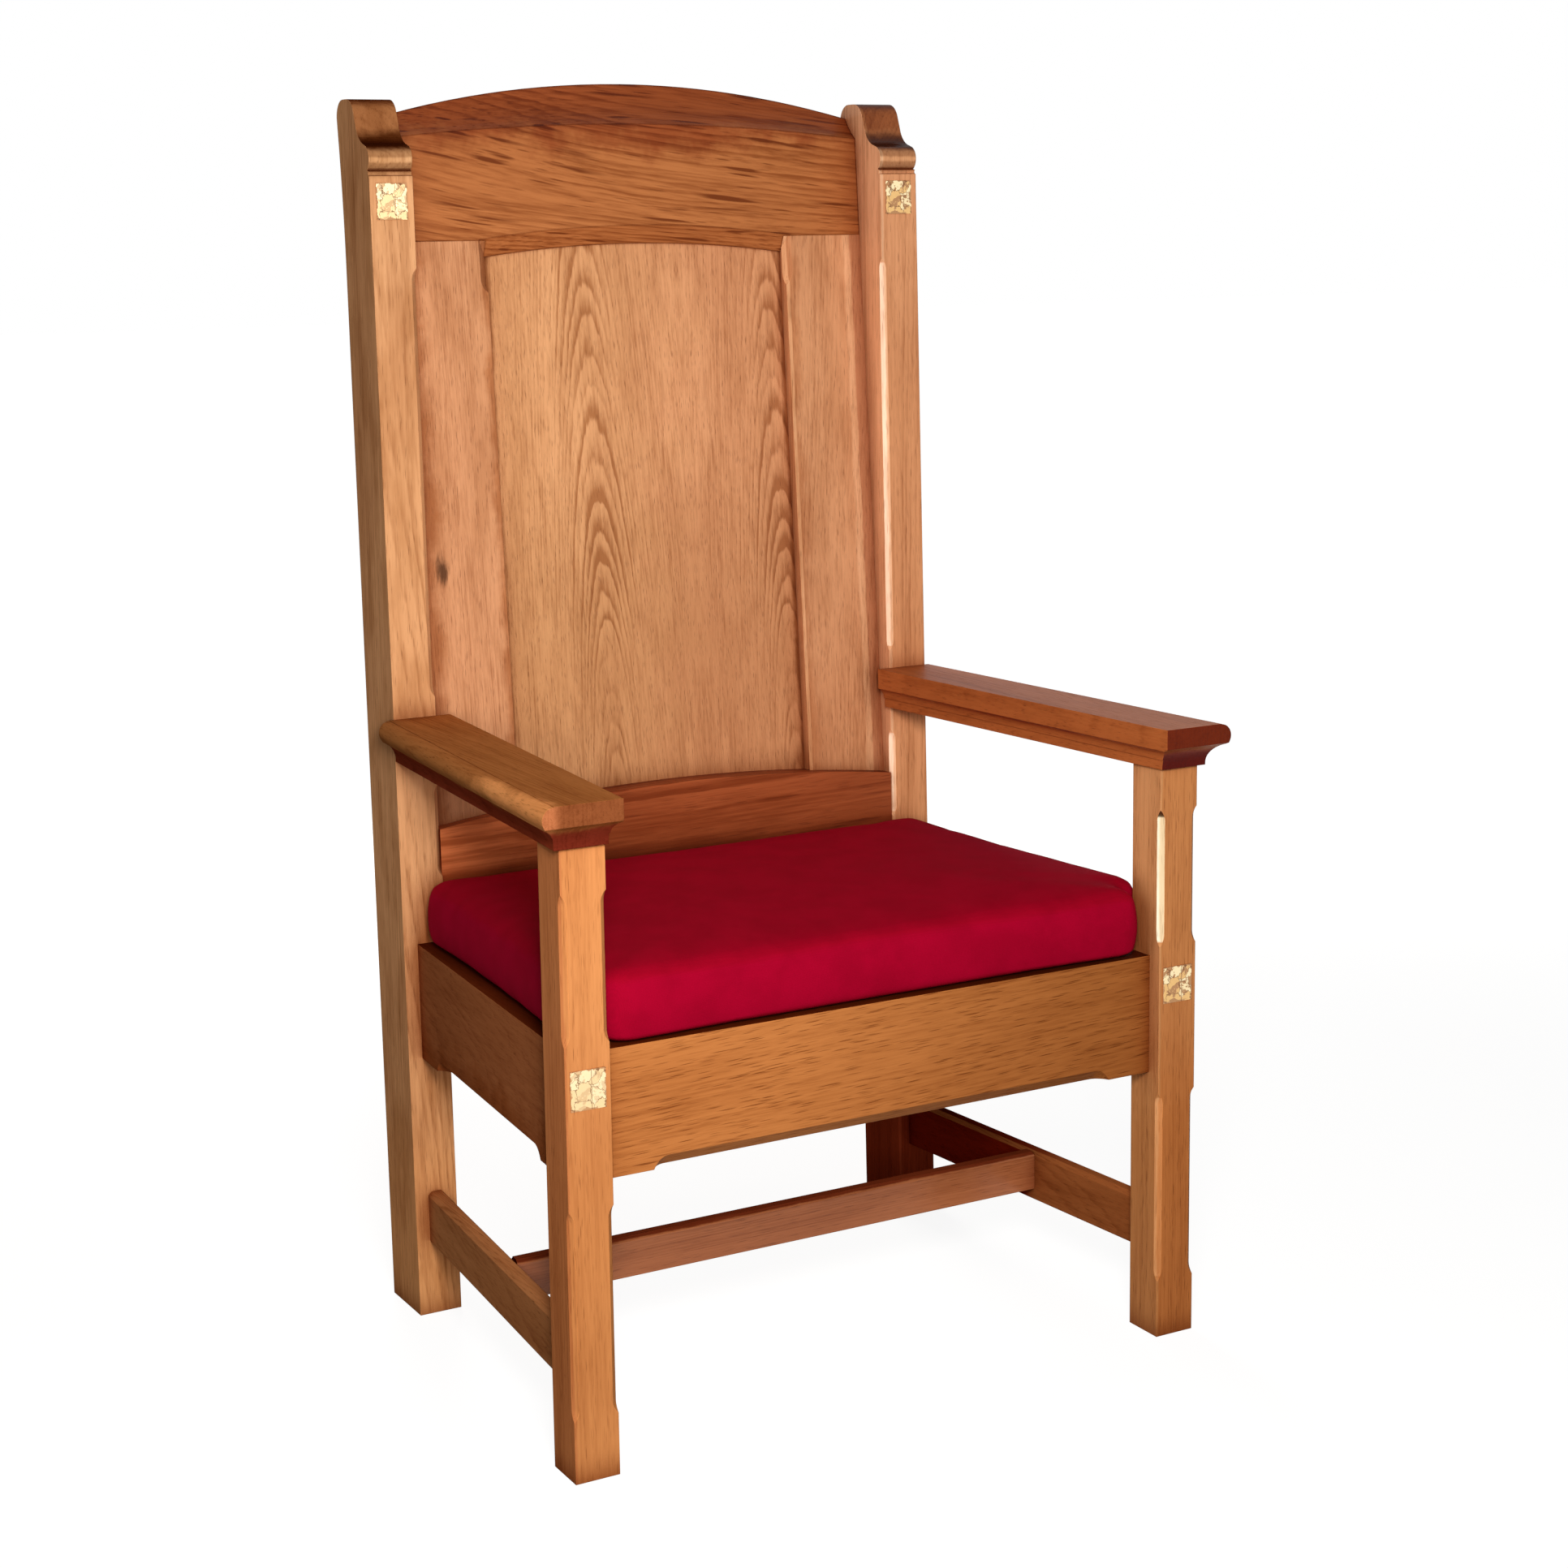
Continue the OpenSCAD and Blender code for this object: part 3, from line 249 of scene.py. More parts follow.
def wooden(name, grain, place=(0.0, 0.0, 0.0), lean=(0.0, 0.0, 0.0), gloss=0.1, wax=0.04, waxed=None,
           corner=0.035, fold=None, aged_and_painted_light=(), fronts=(), facets=(), knot=None, **values):
    """An oiled wood with its grain along an axis. place moves the piece in the tree, lean tilts the grain by
    small angles, and fold gives the line at which a pattern is mirrored, as in boards opened like a book: its
    X at the floor and how far that moves for each metre up. gloss is the shine of the bare wood and wax the
    weight of the wax on it, and waxed gives the heights at which the wax begins and is whole. Painted shade
    darkens the wood within the corner distance of other wood. The first tint rows, some for age and some
    painted light and shade, each tint the wood from one place to another along an axis: axis, start, end,
    tint. The rows of fronts leave out the faces that look sideways or back, and those of facets tint only
    the faces that look one way, which they give first. A knot is a dark spot on an upright face: its X, Z
    and half its height. The other values are inputs of oak_grain."""
    made = bpy.data.materials.new(name)
    made.use_nodes = True
    tree = made.node_tree
    shader = tree.nodes["Principled BSDF"]
    at = put(tree, "TexCoord").outputs["Object"]
    if fold is not None:
        parts = put(tree, "SeparateXYZ", {0: at}).outputs
        line = calc(tree, "MULTIPLY_ADD", parts[2], fold[1], fold[0])
        folded = calc(tree, "ABSOLUTE", calc(tree, "SUBTRACT", parts[0], line))
        at = put(tree, "CombineXYZ", {0: folded, 1: parts[1], 2: parts[2]}).outputs[0]
    tilt = tuple(a + b for a, b in zip(turn_to[grain], lean))
    at = put(tree, "Mapping", {"Vector": at, "Location": place, "Rotation": tilt}).outputs[0]
    wood = tree.nodes.new("ShaderNodeGroup")
    wood.node_tree = oak_tree
    feed(tree, wood.inputs["Vector"], at)
    wood.inputs["Grain"].default_value = grain_of[grain]
    for label, value in values.items():
        wood.inputs[label.replace("_", " ")].default_value = value
    # Ambient occlusion within the corner distance gives painted shade in corners, coves and under parts.
    open_sky = put(tree, "AmbientOcclusion", {"Distance": corner}, samples=6).outputs["AO"]
    feed(tree, wood.inputs["Painted Shade"], step_up(tree, open_sky, 0.35, 0.97, 1.0, 0.0))
    colour = wood.outputs["Color"]
    spot = put(tree, "TexCoord").outputs["Object"]
    split = put(tree, "SeparateXYZ", {0: spot}).outputs
    rows = (*aged_and_painted_light, *fronts)
    ragged, most_ragged = 2.5, 0.12
    if rows:
        uneven = calc(tree, "SUBTRACT", cloud(tree, spot, (17.0, 17.0, 17.0), 4.0, 0.65).outputs[0], 0.5)
    facing = put(tree, "TexCoord").outputs["Normal"]
    if fronts:
        turned = put(tree, "SeparateXYZ", {0: facing}).outputs
        sideways = calc(tree, "ABSOLUTE", turned[0])
        forward = calc(tree, "MULTIPLY", step_up(tree, sideways, 0.6, 0.9, 1.0, 0.0),
                       step_up(tree, turned[1], 0.3, 0.6, 1.0, 0.0))
    for axis, start, end, tint in rows:
        spread = min(ragged * abs(end - start), most_ragged)
        moved = calc(tree, "MULTIPLY_ADD", uneven, spread, split["XYZ".index(axis)])
        amount = step_up(tree, moved, start, end)
        if (axis, start, end, tint) in fronts:
            amount = calc(tree, "MULTIPLY", amount, forward)
        colour = tinted(tree, amount, colour, (*tint, 1.0))
    for way, axis, start, end, tint in facets:
        turned = put(tree, "VectorMath", {0: facing, 1: way}, operation="DOT_PRODUCT").outputs["Value"]
        amount = calc(tree, "MULTIPLY", step_up(tree, turned, 0.92, 0.96),
                      step_up(tree, split["XYZ".index(axis)], start, end))
        colour = tinted(tree, amount, colour, (*tint, 1.0))
    if knot:
        knot_x, knot_z, half_height = knot
        slimness = 2.2
        aside = calc(tree, "MULTIPLY", calc(tree, "SUBTRACT", split[0], knot_x), slimness / half_height)
        above = calc(tree, "MULTIPLY", calc(tree, "SUBTRACT", split[2], knot_z), 1.0 / half_height)
        far = calc(tree, "ADD", calc(tree, "MULTIPLY", aside, aside), calc(tree, "MULTIPLY", above, above))
        frayed = cloud(tree, spot, (240.0, 240.0, 50.0), 3.0).outputs[0]
        far = calc(tree, "MULTIPLY_ADD", frayed, 1.2, calc(tree, "SQRT", far))
        colour = mixed(tree, step_up(tree, far, 0.9, 1.5, 0.9, 0.0), colour, paint(88, 52, 30))
    feed(tree, shader.inputs["Base Color"], colour)
    feed(tree, shader.inputs["Roughness"], wood.outputs["Roughness"])
    bump = put(tree, "Bump", {"Height": wood.outputs["Height"], "Normal": wood.outputs["Normal"],
                              "Strength": 0.7, "Distance": 0.0004})
    feed(tree, shader.inputs["Normal"], bump.outputs[0])
    shader.inputs["Specular IOR Level"].default_value = gloss
    shader.inputs["Coat Weight"].default_value = wax
    if waxed is not None:
        feed(tree, shader.inputs["Coat Weight"], step_up(tree, split[2], *waxed, 0.0, wax))
    shader.inputs["Coat Roughness"].default_value = 0.22
    return made


def finish_with(material, *names):
    """Gives CAD nodes a material."""
    for name in names:
        for held in nodes[name].material_slots:
            held.link = "OBJECT"
            held.material = material


paler_above = ("Z", 0.95, 1.12, (1.13, 1.2, 1.28))
# The head's front faces: darker from the quirk up, a painted highlight along the bead, painted shade in the
# cove, and lighter again on the nose.
head_tones_and_painted_light = (paler_above, ("Z", 1.188, 1.2, (0.6, 0.58, 0.53)), ("Z", 1.2045, 1.2075, (1.6, 1.75, 1.9)),
                ("Z", 1.2095, 1.2125, (0.63, 0.57, 0.53)), ("Z", 1.216, 1.224, (0.24, 0.13, 0.07)),
                ("Z", 1.231, 1.242, (3.4, 5.0, 7.6)))
finish_with(wooden("oak_post_left", UPRIGHT, (0.0, 0.3, 0.11), gloss=0.0, wax=0.0,
                   aged_and_painted_light=(("Z", 0.3, 0.05, (1.12, 1.09, 0.98)), ("Z", 0.48, 0.3, (0.9, 0.86, 0.82))),
                   fronts=head_tones_and_painted_light, Colour=paint(247, 182, 128), Pith_Across=-0.35, Pith_Depth=0.38,
                   Ring_Width=0.0042, Taper=0.02, Stains=0.8, Streaks=0.7, Mottle=0.6), "back_post_left")
inner_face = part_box("back_post_right")[0].x
corner_way = (-0.707, -0.707, 0.0)
front_way = (0.0, -1.0, 0.0)
inner_way = (-1.0, 0.0, 0.0)
top_way = (0.0, 0.0, 1.0)
# The right post has a painted highlight on its inner face and, above the seat, on its chamfer, and dark red
# painted shade on its front and inner faces under the seat.
finish_with(wooden("oak_post_right", UPRIGHT, (0.07, 0.1, 0.7), gloss=0.0, wax=0.25, waxed=(0.6, 0.7),
                   aged_and_painted_light=(("Z", 0.3, 0.05, (0.95, 0.85, 0.72)),
                         ("X", inner_face + 0.0045, inner_face + 0.0025, (1.25, 1.55, 1.9))),
                   fronts=(*head_tones_and_painted_light, ("Z", 1.236, 1.246, (0.8, 0.66, 0.56))),
                   facets=((corner_way, "Z", 0.42, 0.423, (1.3, 1.75, 2.3)),
                           (front_way, "Z", 0.38, 0.33, (0.36, 0.12, 0.09)),
                           (inner_way, "Z", 0.38, 0.33, (0.3, 0.08, 0.05))),
                   Colour=paint(247, 172, 120), Pith_Across=0.45, Pith_Depth=0.2, Ring_Width=0.0036,
                   Stains=0.6, Streaks=0.6), "back_post_right")


# Front legs: square oak legs that run up to the arms, each with stopped chamfers down its corners.
# They are tenoned into the arms and take the front and side rails. The right one has painted light on its
# inner face and a painted highlight down its chamfer, strong above the seat and faint below it, and the face
# at the tip of its upper stop is darker.
outer_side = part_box("front_leg_left")[0].x
inner_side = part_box("front_leg_right")[0].x
seat_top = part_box("front_seat_rail")[1].z
chamfer_tip_way = (-0.6, -0.6, -0.52)
# The left leg's outer face is darkened with painted shade.
finish_with(wooden("oak_leg_left", UPRIGHT, (0.2, 0.0, 0.31), gloss=0.0, wax=0.0,
                   aged_and_painted_light=(("X", outer_side + 0.003, outer_side + 0.001, (0.9, 0.82, 0.85)),
                         ("Z", 0.4, 0.2, (0.96, 0.94, 0.9))),
                   Colour=paint(233, 155, 94), Pith_Across=-0.12, Pith_Depth=-0.36, Ring_Width=0.0034,
                   Rings=0.5, Stains=0.5, Wear=0.6), "front_leg_left")
# The right leg: painted light on its inner face and painted highlights on its chamfer.
finish_with(wooden("oak_leg_right", UPRIGHT, (0.4, 0.2, 0.52), gloss=0.03, wax=0.1, waxed=(0.4, 0.5),
                   aged_and_painted_light=(("X", inner_side + 0.003, inner_side + 0.001, (1.12, 1.35, 1.65)),
                         ("Z", 0.4, 0.2, (0.83, 0.7, 0.56))),
                   facets=((corner_way, "Z", seat_top, seat_top + 0.003, (1.5, 3.0, 5.6)),
                           (chamfer_tip_way, "Z", 0.54, 0.543, (0.12, 0.08, 0.05)),
                           (corner_way, "Z", seat_top, seat_top - 0.003, (1.25, 1.45, 1.8))),
                   Colour=paint(221, 146, 88), Pith_Across=0.85, Pith_Depth=-0.1, Ring_Width=0.0031,
                   Rings=0.5, Stains=0.5, Wear=0.6), "front_leg_right")


# Seat rails: four deep oak rails tenoned between the legs and posts. The front one shows short dark flecks
# of open pores along its length and is darkened towards its right end with painted shade, and the tops,
# in the cushion's shade, take painted shade.
rail_colour = paint(212, 134, 73)
shaded_top = ((top_way, "Z", seat_top - 0.002, seat_top - 0.001, (0.4, 0.24, 0.18)),)
finish_with(wooden("oak_front_rail", CROSSWISE, (0.0, 0.02, 0.2), (0.0, 0.03, 0.0), gloss=0.02, wax=0.0,
                   aged_and_painted_light=(("X", -0.22, 0.32, (0.66, 0.6, 0.52)),), facets=shaded_top, Colour=rail_colour,
                   Pith_Across=-0.46, Pith_Depth=-0.34, Ring_Width=0.005, Pore_Size=1.3, Pores=1.0,
                   Rings=0.4, Fibres=1.0, Streaks=0.35, Stains=0.4, Mottle=0.15, Cracks=0.7,
                   Crack_Size=0.3), "front_seat_rail")
finish_with(wooden("oak_side_rails", FORWARD, (0.1, 0.0, 0.4), gloss=0.0, wax=0.0,
                   aged_and_painted_light=(("Z", 0.33, 0.29, (0.8, 0.68, 0.55)),), facets=shaded_top,
                   Colour=paint(189, 113, 68), Pith_Depth=-0.3, Ring_Width=0.004, Rings=0.4),
            "side_seat_rail_left", "side_seat_rail_right")
finish_with(wooden("oak_rear_rail", CROSSWISE, (0.0, 0.4, 0.9), Colour=rail_colour, Pith_Across=-0.5,
                   Ring_Width=0.004), "rear_seat_rail")


# Stretchers: three thin oak rails near the floor, in the shape of an H, tenoned into the legs and each
# other. Under the seat the top of the middle one, and the top and inner face of the right one towards the
# back, take dark red painted shade.
stretcher_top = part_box("cross_stretcher")[1].z
# Painted shade on the top of the cross stretcher, under the seat.
painted_shade_top = ("Z", stretcher_top - 0.0035, stretcher_top - 0.002, (0.42, 0.22, 0.18))
finish_with(wooden("oak_stretcher_left", FORWARD, (0.05, 0.12, 0.3), gloss=0.0, wax=0.0,
                   Colour=paint(203, 133, 82), Pith_Across=0.1, Pith_Depth=0.1, Ring_Width=0.003),
            "side_stretcher_left")
finish_with(wooden("oak_stretcher_right", FORWARD, (0.35, 0.12, 0.3), gloss=0.0, wax=0.0,
                   facets=((inner_way, "Y", -0.05, -0.03, (0.5, 0.1, 0.08)),
                           (top_way, "Y", -0.15, 0.0, (0.5, 0.14, 0.1))),
                   Colour=paint(167, 96, 51), Pith_Across=0.1, Pith_Depth=0.1, Ring_Width=0.003),
            "side_stretcher_right")
finish_with(wooden("oak_cross_stretcher", CROSSWISE, (0.3, 0.0, 0.1), gloss=0.0, wax=0.55,
                   waxed=(stretcher_top - 0.002, stretcher_top - 0.005), aged_and_painted_light=(painted_shade_top,),
                   Colour=paint(194, 119, 76), Pith_Across=-0.2, Pith_Depth=0.1, Ring_Width=0.003),
            "cross_stretcher")


# Arms: broad oak boards on the legs, moulded with a fascia and a cove, their outer edges rounded by hand.
# Each is mortised for its leg and housed on its post. The coves take dark red painted shade, and the left
# arm's rounded outer side is painted lighter with painted light.
shaded_cove = (("Z", 0.619, 0.611, (0.6, 0.26, 0.36)),)
arm_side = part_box("arm_left")[0].x
finish_with(wooden("oak_arm_left", FORWARD, (0.0, 0.07, 0.6), gloss=0.0, wax=0.0,
                   aged_and_painted_light=(*shaded_cove, ("X", arm_side + 0.02, arm_side + 0.006, (1.8, 2.0, 2.3))),
                   Colour=paint(203, 129, 71), Pith_Across=0.12, Pith_Depth=-0.56, Ring_Width=0.004,
                   Rings=0.5, Streaks=0.6, Stains=0.6, End_Tint=(0.55, 0.46, 0.55, 1.0)), "arm_left")
finish_with(wooden("oak_arm_right", FORWARD, (0.0, 0.07, 0.6), gloss=0.09, wax=0.05, fronts=shaded_cove,
                   Colour=paint(192, 109, 57), Pith_Across=0.12, Pith_Depth=-0.56, Ring_Width=0.004,
                   Rings=0.5, Streaks=0.6, Stains=0.5, End_Tint=(0.34, 0.14, 0.1, 1.0)), "arm_right")


# Lower back rail: a thick oak rail of darker, redder wood with strong grain from end to end. It is tenoned
# between the posts, and its crowned top is grooved for the panel. Its left end is painted lighter with
# painted light, against the left arm's shadow.
finish_with(wooden("oak_lower_rail", CROSSWISE, (0.0, 0.1, 0.45), (0.0, 0.02, 0.0),
                   aged_and_painted_light=(("X", -0.1, -0.24, (2.1, 2.5, 2.7)),),
                   Colour=paint(176, 90, 50), Pith_Across=-0.44, Pith_Depth=0.1, Sway=0.005,
                   Ring_Width=0.0075, Rings=1.6, Streaks=1.9, Cracks=0.5, Crack_Size=0.8,
                   Pore_Size=1.4), "lower_back_rail")


# Crest rail: the arched top of the back, from a wide board whose grain slopes down to the right. Its face
# is open with cracks, its top is weathered redder and darkened with painted shade, the face of its arched
# chamfer takes painted shade, painted shade reaches further into its corners, and the arris of that chamfer
# is dark.
dark_arris = (0.5, 0.4, 0.33, 1.0)
arch_chamfer_way = (0.0, -0.92, -0.39)
finish_with(wooden("oak_crest", CROSSWISE, (0.0, 0.0, 0.25), (0.0, -0.1, 0.0), corner=0.05,
                   aged_and_painted_light=(("Z", 1.205, 1.25, (0.62, 0.42, 0.37)),),
                   facets=((arch_chamfer_way, "Z", 1.2, 1.19, (0.93, 0.88, 0.83)),),
                   Colour=paint(212, 133, 77), Pith_Across=-1.32, Pith_Depth=0.22, Ring_Width=0.006,
                   Rings=1.1, Pore_Size=2.0, Pores=0.9, Fibres=1.2, Streaks=0.8, Sway=0.1, Cracks=1.4,
                   Wear=3.5, Edge_Width=0.003, Edge_Low=0.976, Edge_High=0.9985, Edge_Tint=dark_arris),
            "crest_rail")


# Stiles: two broad oak uprights of the back frame, grooved for the panel and chamfered along it. Beside the
# panel their edges are darkened by dirt and painted shade, the left one's outer edge takes the painted
# shadow of its post, and the left one has a knot. The right one has a painted highlight along its inner
# edge, a pale ragged strip and a darker line near its post, and painted shade lower down.
stile_colour = paint(240, 172, 124)
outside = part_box("back_stile_left")[0].x
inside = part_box("back_stile_left")[1].x
dirt_and_shade_edge = (0.7, 0.56, 0.44)
finish_with(wooden("oak_stile_left", UPRIGHT, (0.3, 0.2, 0.05),
                   aged_and_painted_light=(("X", inside - 0.014, inside - 0.001, dirt_and_shade_edge),
                         ("X", outside + 0.03, outside + 0.008, dirt_and_shade_edge)),
                   knot=(-0.25, 0.787, 0.022),
                   Colour=stile_colour, Pith_Across=-0.4, Pith_Depth=0.3, Ring_Width=0.003, Rings=0.5,
                   Fibres=0.9, Stains=0.6, Mottle=0.5, Pore_Size=1.2, Edge_Tint=dark_arris),
            "back_stile_left")
finish_with(wooden("oak_stile_right", UPRIGHT, (0.1, 0.5, 0.15),
                   aged_and_painted_light=(("X", -inside + 0.02, -inside + 0.001, (0.84, 0.74, 0.66)),
                         ("X", -inside + 0.0045, -inside + 0.0035, (1.4, 1.7, 1.95)),
                         ("X", -outside - 0.024, -outside - 0.02, (1.22, 1.4, 1.55)),
                         ("X", -outside - 0.015, -outside - 0.012, (0.7, 0.56, 0.51)),
                         ("Z", 0.75, 0.55, (0.9, 0.86, 0.82))),
                   Colour=stile_colour, Pith_Across=0.6, Pith_Depth=0.4, Ring_Width=0.003, Rings=0.5,
                   Fibres=0.9, Stains=0.6, Mottle=0.4, Pore_Size=1.2), "back_stile_right")


# Panel: two thin oak boards glued edge to edge and opened like a book, so that the arches of the grain
# stand in two columns. It is held loose in the grooves of the frame, with old wax and painted shade along
# both its sides, and painted shade darkens it downwards, at its left and a little towards the right.
glue_line = (0.066, -0.016)
wax_and_shade = (0.5, 0.37, 0.26)
finish_with(wooden("oak_panel", UPRIGHT, fold=glue_line,
                   aged_and_painted_light=(("X", inside + 0.009, inside + 0.002, wax_and_shade),
                         ("X", -inside - 0.007, -inside - 0.001, wax_and_shade),
                         ("Z", 0.95, 0.7, (0.82, 0.8, 0.75)), ("X", -0.08, 0.1, (0.98, 0.91, 0.95)),
                         ("X", -0.1, -0.17, (0.93, 0.9, 0.87))),
                   Colour=paint(254, 188, 133), Flame=0.8, Pith_Across=0.114, Pith_Depth=0.2,
                   Ring_Width=0.0028, Rings=1.0, Pores=0.7, Fibres=0.9, Mottle=0.25, Cracks=0.25),
            "back_panel")


# Gilded squares: four small wooden squares let into posts and legs and covered with leaves of gold, torn
# and laid by hand. The leaf stops short of the edges, and it has cracked and worn through to the pale ground.
def worn_leaf():
    """Gold leaf on a square whose middle is the Vector's origin. The leaf is bare near the square's edges, by
    the distance to the nearest one and slow noise, along crooked cell walls as cracks, along one upright
    seam, and where a fine noise is high. Whole cells are duller than others."""
    g, given, out = group_with("worn_leaf", {
        "Vector": (0.0, 0.0, 0.0), "Half": (0.018, 1.0, 0.018), "Seam": 0.0, "Worn": 0.5,
    }, {"Color": "Color", "Metallic": "Float", "Roughness": "Float", "Height": "Float"})
    at = given["Vector"]
    cells_per_metre = 62.0
    most_bend = (0.012, 0.012, 0.012)
    bend = centred(g, cloud(g, at, (130.0, 130.0, 130.0), 3.0).outputs["Color"])
    bend = put(g, "VectorMath", {0: bend, 1: most_bend, 2: at}, operation="MULTIPLY_ADD").outputs[0]
    room = put(g, "VectorMath", {0: bend}, operation="ABSOLUTE").outputs[0]
    room = put(g, "SeparateXYZ", {0: put(g, "VectorMath", {0: given["Half"], 1: room},
                                         operation="SUBTRACT").outputs[0]}).outputs
    border = step_up(g, calc(g, "MINIMUM", room[0], room[2]), 0.0006, 0.0016, 1.0, 0.0)
    walls = {"Vector": bend, "Scale": cells_per_metre}
    crack = put(g, "TexVoronoi", walls, feature="DISTANCE_TO_EDGE").outputs[0]
    cell = put(g, "TexVoronoi", walls).outputs["Color"]
    dull = step_up(g, put(g, "SeparateXYZ", {0: cell}).outputs[0], 0.45, 0.6)
    rub = cloud(g, at, (420.0, 420.0, 420.0), 4.0, 0.6).outputs[0]
    patch = cloud(g, at, (85.0, 85.0, 85.0), 2.0).outputs[0]
    gone = step_up(g, calc(g, "MULTIPLY_ADD", rub, 0.35, patch), 0.7, 0.74)
    gone = calc(g, "MULTIPLY", gone, given["Worn"])
    split = step_up(g, crack, 0.01, 0.03, 0.85, 0.0)
    middle = put(g, "SeparateXYZ", {0: at}).outputs[0]
    seam = calc(g, "ABSOLUTE", calc(g, "SUBTRACT", middle, given["Seam"]))
    seam = step_up(g, seam, 0.0002, 0.0006, 0.7, 0.0)
    bare = calc(g, "MAXIMUM", calc(g, "MAXIMUM", gone, split), calc(g, "MAXIMUM", seam, border))
    shine = mixed(g, calc(g, "MULTIPLY", dull, given["Worn"]), paint(255, 239, 198), paint(232, 184, 122))
    shine = mixed(g, calc(g, "MULTIPLY", rub, 0.5), shine, paint(250, 214, 142))
    ground = mixed(g, calc(g, "MAXIMUM", split, seam), paint(205, 152, 104), paint(120, 72, 34))
    feed(g, out["Color"], mixed(g, bare, shine, ground))
    feed(g, out["Metallic"], calc(g, "MULTIPLY_ADD", bare, -0.9, 0.9))
    feed(g, out["Roughness"], calc(g, "MULTIPLY_ADD", rub, 0.3, 0.3))
    feed(g, out["Height"], calc(g, "MULTIPLY_ADD", bare, -1.0, calc(g, "MULTIPLY", rub, 0.5)))
    return g


leaf = worn_leaf()


def gilded(name, square, seam, worn):
    """Gold leaf for one square, with its seam at that distance from the middle."""
    made = bpy.data.materials.new(name)
    made.use_nodes = True
    tree = made.node_tree
    shader = tree.nodes["Principled BSDF"]
    gold = tree.nodes.new("ShaderNodeGroup")
    gold.node_tree = leaf
    low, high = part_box(square)
    middle = tuple(-0.5 * (a + b) for a, b in zip(low, high))
    at = put(tree, "TexCoord").outputs["Object"]
    feed(tree, gold.inputs["Vector"], put(tree, "Mapping", {"Vector": at, "Location": middle}).outputs[0])
    gold.inputs["Half"].default_value = (0.5 * (high.x - low.x), 1.0, 0.5 * (high.z - low.z))
    gold.inputs["Seam"].default_value = seam
    gold.inputs["Worn"].default_value = worn
    for label, socket in (("Base Color", "Color"), ("Metallic", "Metallic"), ("Roughness", "Roughness")):
        feed(tree, shader.inputs[label], gold.outputs[socket])
    bump = put(tree, "Bump", {"Height": gold.outputs["Height"], "Strength": 0.5, "Distance": 0.0004})
    feed(tree, shader.inputs["Normal"], bump.outputs[0])
    return made


for square, seam, worn in (("post_tile_left", 0.004, 0.5), ("post_tile_right", 0.007, 1.3),
                           ("leg_tile_left", 0.0035, 0.4), ("leg_tile_right", 0.005, 1.3)):
    finish_with(gilded("gold_" + square, square, seam, worn), square)


# Seat board and its fixings: a birch plywood board on pine strips, with pine blocks glued and screwed into
# the corners under it. None of it shows when the cushion is in place.
finish_with(wooden("birch_board", CROSSWISE, Colour=paint(222, 190, 146), Pith_Across=-0.36,
                   Pith_Depth=0.0, Ring_Width=0.009, Rings=0.35, Pores=0.1, Fibres=0.3), "seat_board")
pine_colour = paint(226, 186, 128)
finish_with(wooden("pine_crosswise", CROSSWISE, (0.0, 0.3, 0.1), Colour=pine_colour, Pith_Across=-0.4,
                   Ring_Width=0.003, Rings=0.9, Pores=0.05),
            "seat_bearer_front", "seat_bearer_rear", "corner_block_front_left", "corner_block_front_right",
            "corner_block_rear_left", "corner_block_rear_right")
finish_with(wooden("pine_forward", FORWARD, (0.0, 0.3, 0.1), Colour=pine_colour, Pith_Across=0.4,
                   Ring_Width=0.003, Rings=0.9, Pores=0.05), "seat_bearer_left", "seat_bearer_right")


def zinc_steel():
    """Zinc-plated steel, dulled in patches."""
    made = bpy.data.materials.new("zinc_steel")
    made.use_nodes = True
    tree = made.node_tree
    shader = tree.nodes["Principled BSDF"]
    dull = cloud(tree, put(tree, "TexCoord").outputs["Object"], (900.0, 900.0, 900.0), 3.0).outputs[0]
    feed(tree, shader.inputs["Base Color"], mixed(tree, dull, paint(196, 196, 190), paint(150, 150, 146)))
    feed(tree, shader.inputs["Roughness"], calc(tree, "MULTIPLY_ADD", dull, 0.4, 0.15))
    shader.inputs["Metallic"].default_value = 1.0
    return made


finish_with(zinc_steel(), "corner_block_screws", "bearer_screws", "board_screws")


# Cushion: a block of foam in a crimson cloth cover, made with a top, a base and a border between them.
# It lies loose on the seat board, cut round the front legs. The cover is blown up a little from the block
# by cloth simulation, and no point moves further than swell.
def close_mesh(node, name):
    """A copy of a CAD node's mesh with its loose triangles joined."""
    mesh = nodes[node].data.copy()
    mesh.name = name
    work = bmesh.new()
    work.from_mesh(mesh)
    bmesh.ops.remove_doubles(work, verts=work.verts, dist=1e-5)
    bmesh.ops.recalc_face_normals(work, faces=work.faces)
    work.to_mesh(mesh)
    work.free()
    return mesh


def points(mesh):
    """The points of a mesh as an array, a row for each."""
    flat = np.empty(len(mesh.vertices) * 3)
    mesh.vertices.foreach_get("co", flat)
    return flat.reshape(-1, 3)


def outward(mesh):
    """The normal at each point of a mesh."""
    flat = np.empty(len(mesh.vertices) * 3)
    mesh.vertices.foreach_get("normal", flat)
    return flat.reshape(-1, 3)


def applied(piece):
    """Puts the result of a piece's modifiers into its mesh and takes the modifiers off."""
    shape = bpy.data.meshes.new_from_object(piece.evaluated_get(bpy.context.evaluated_depsgraph_get()))
    piece.modifiers.clear()
    piece.data = shape
    return piece


pad = bpy.data.objects.new("seat_cushion", close_mesh("cushion", "seat_cushion"))
pad.data.materials.clear()
bpy.context.scene.collection.objects.link(pad)
voxels = pad.modifiers.new("voxels", "REMESH")
voxels.mode = "VOXEL"
voxels.voxel_size = 0.006
applied(pad)

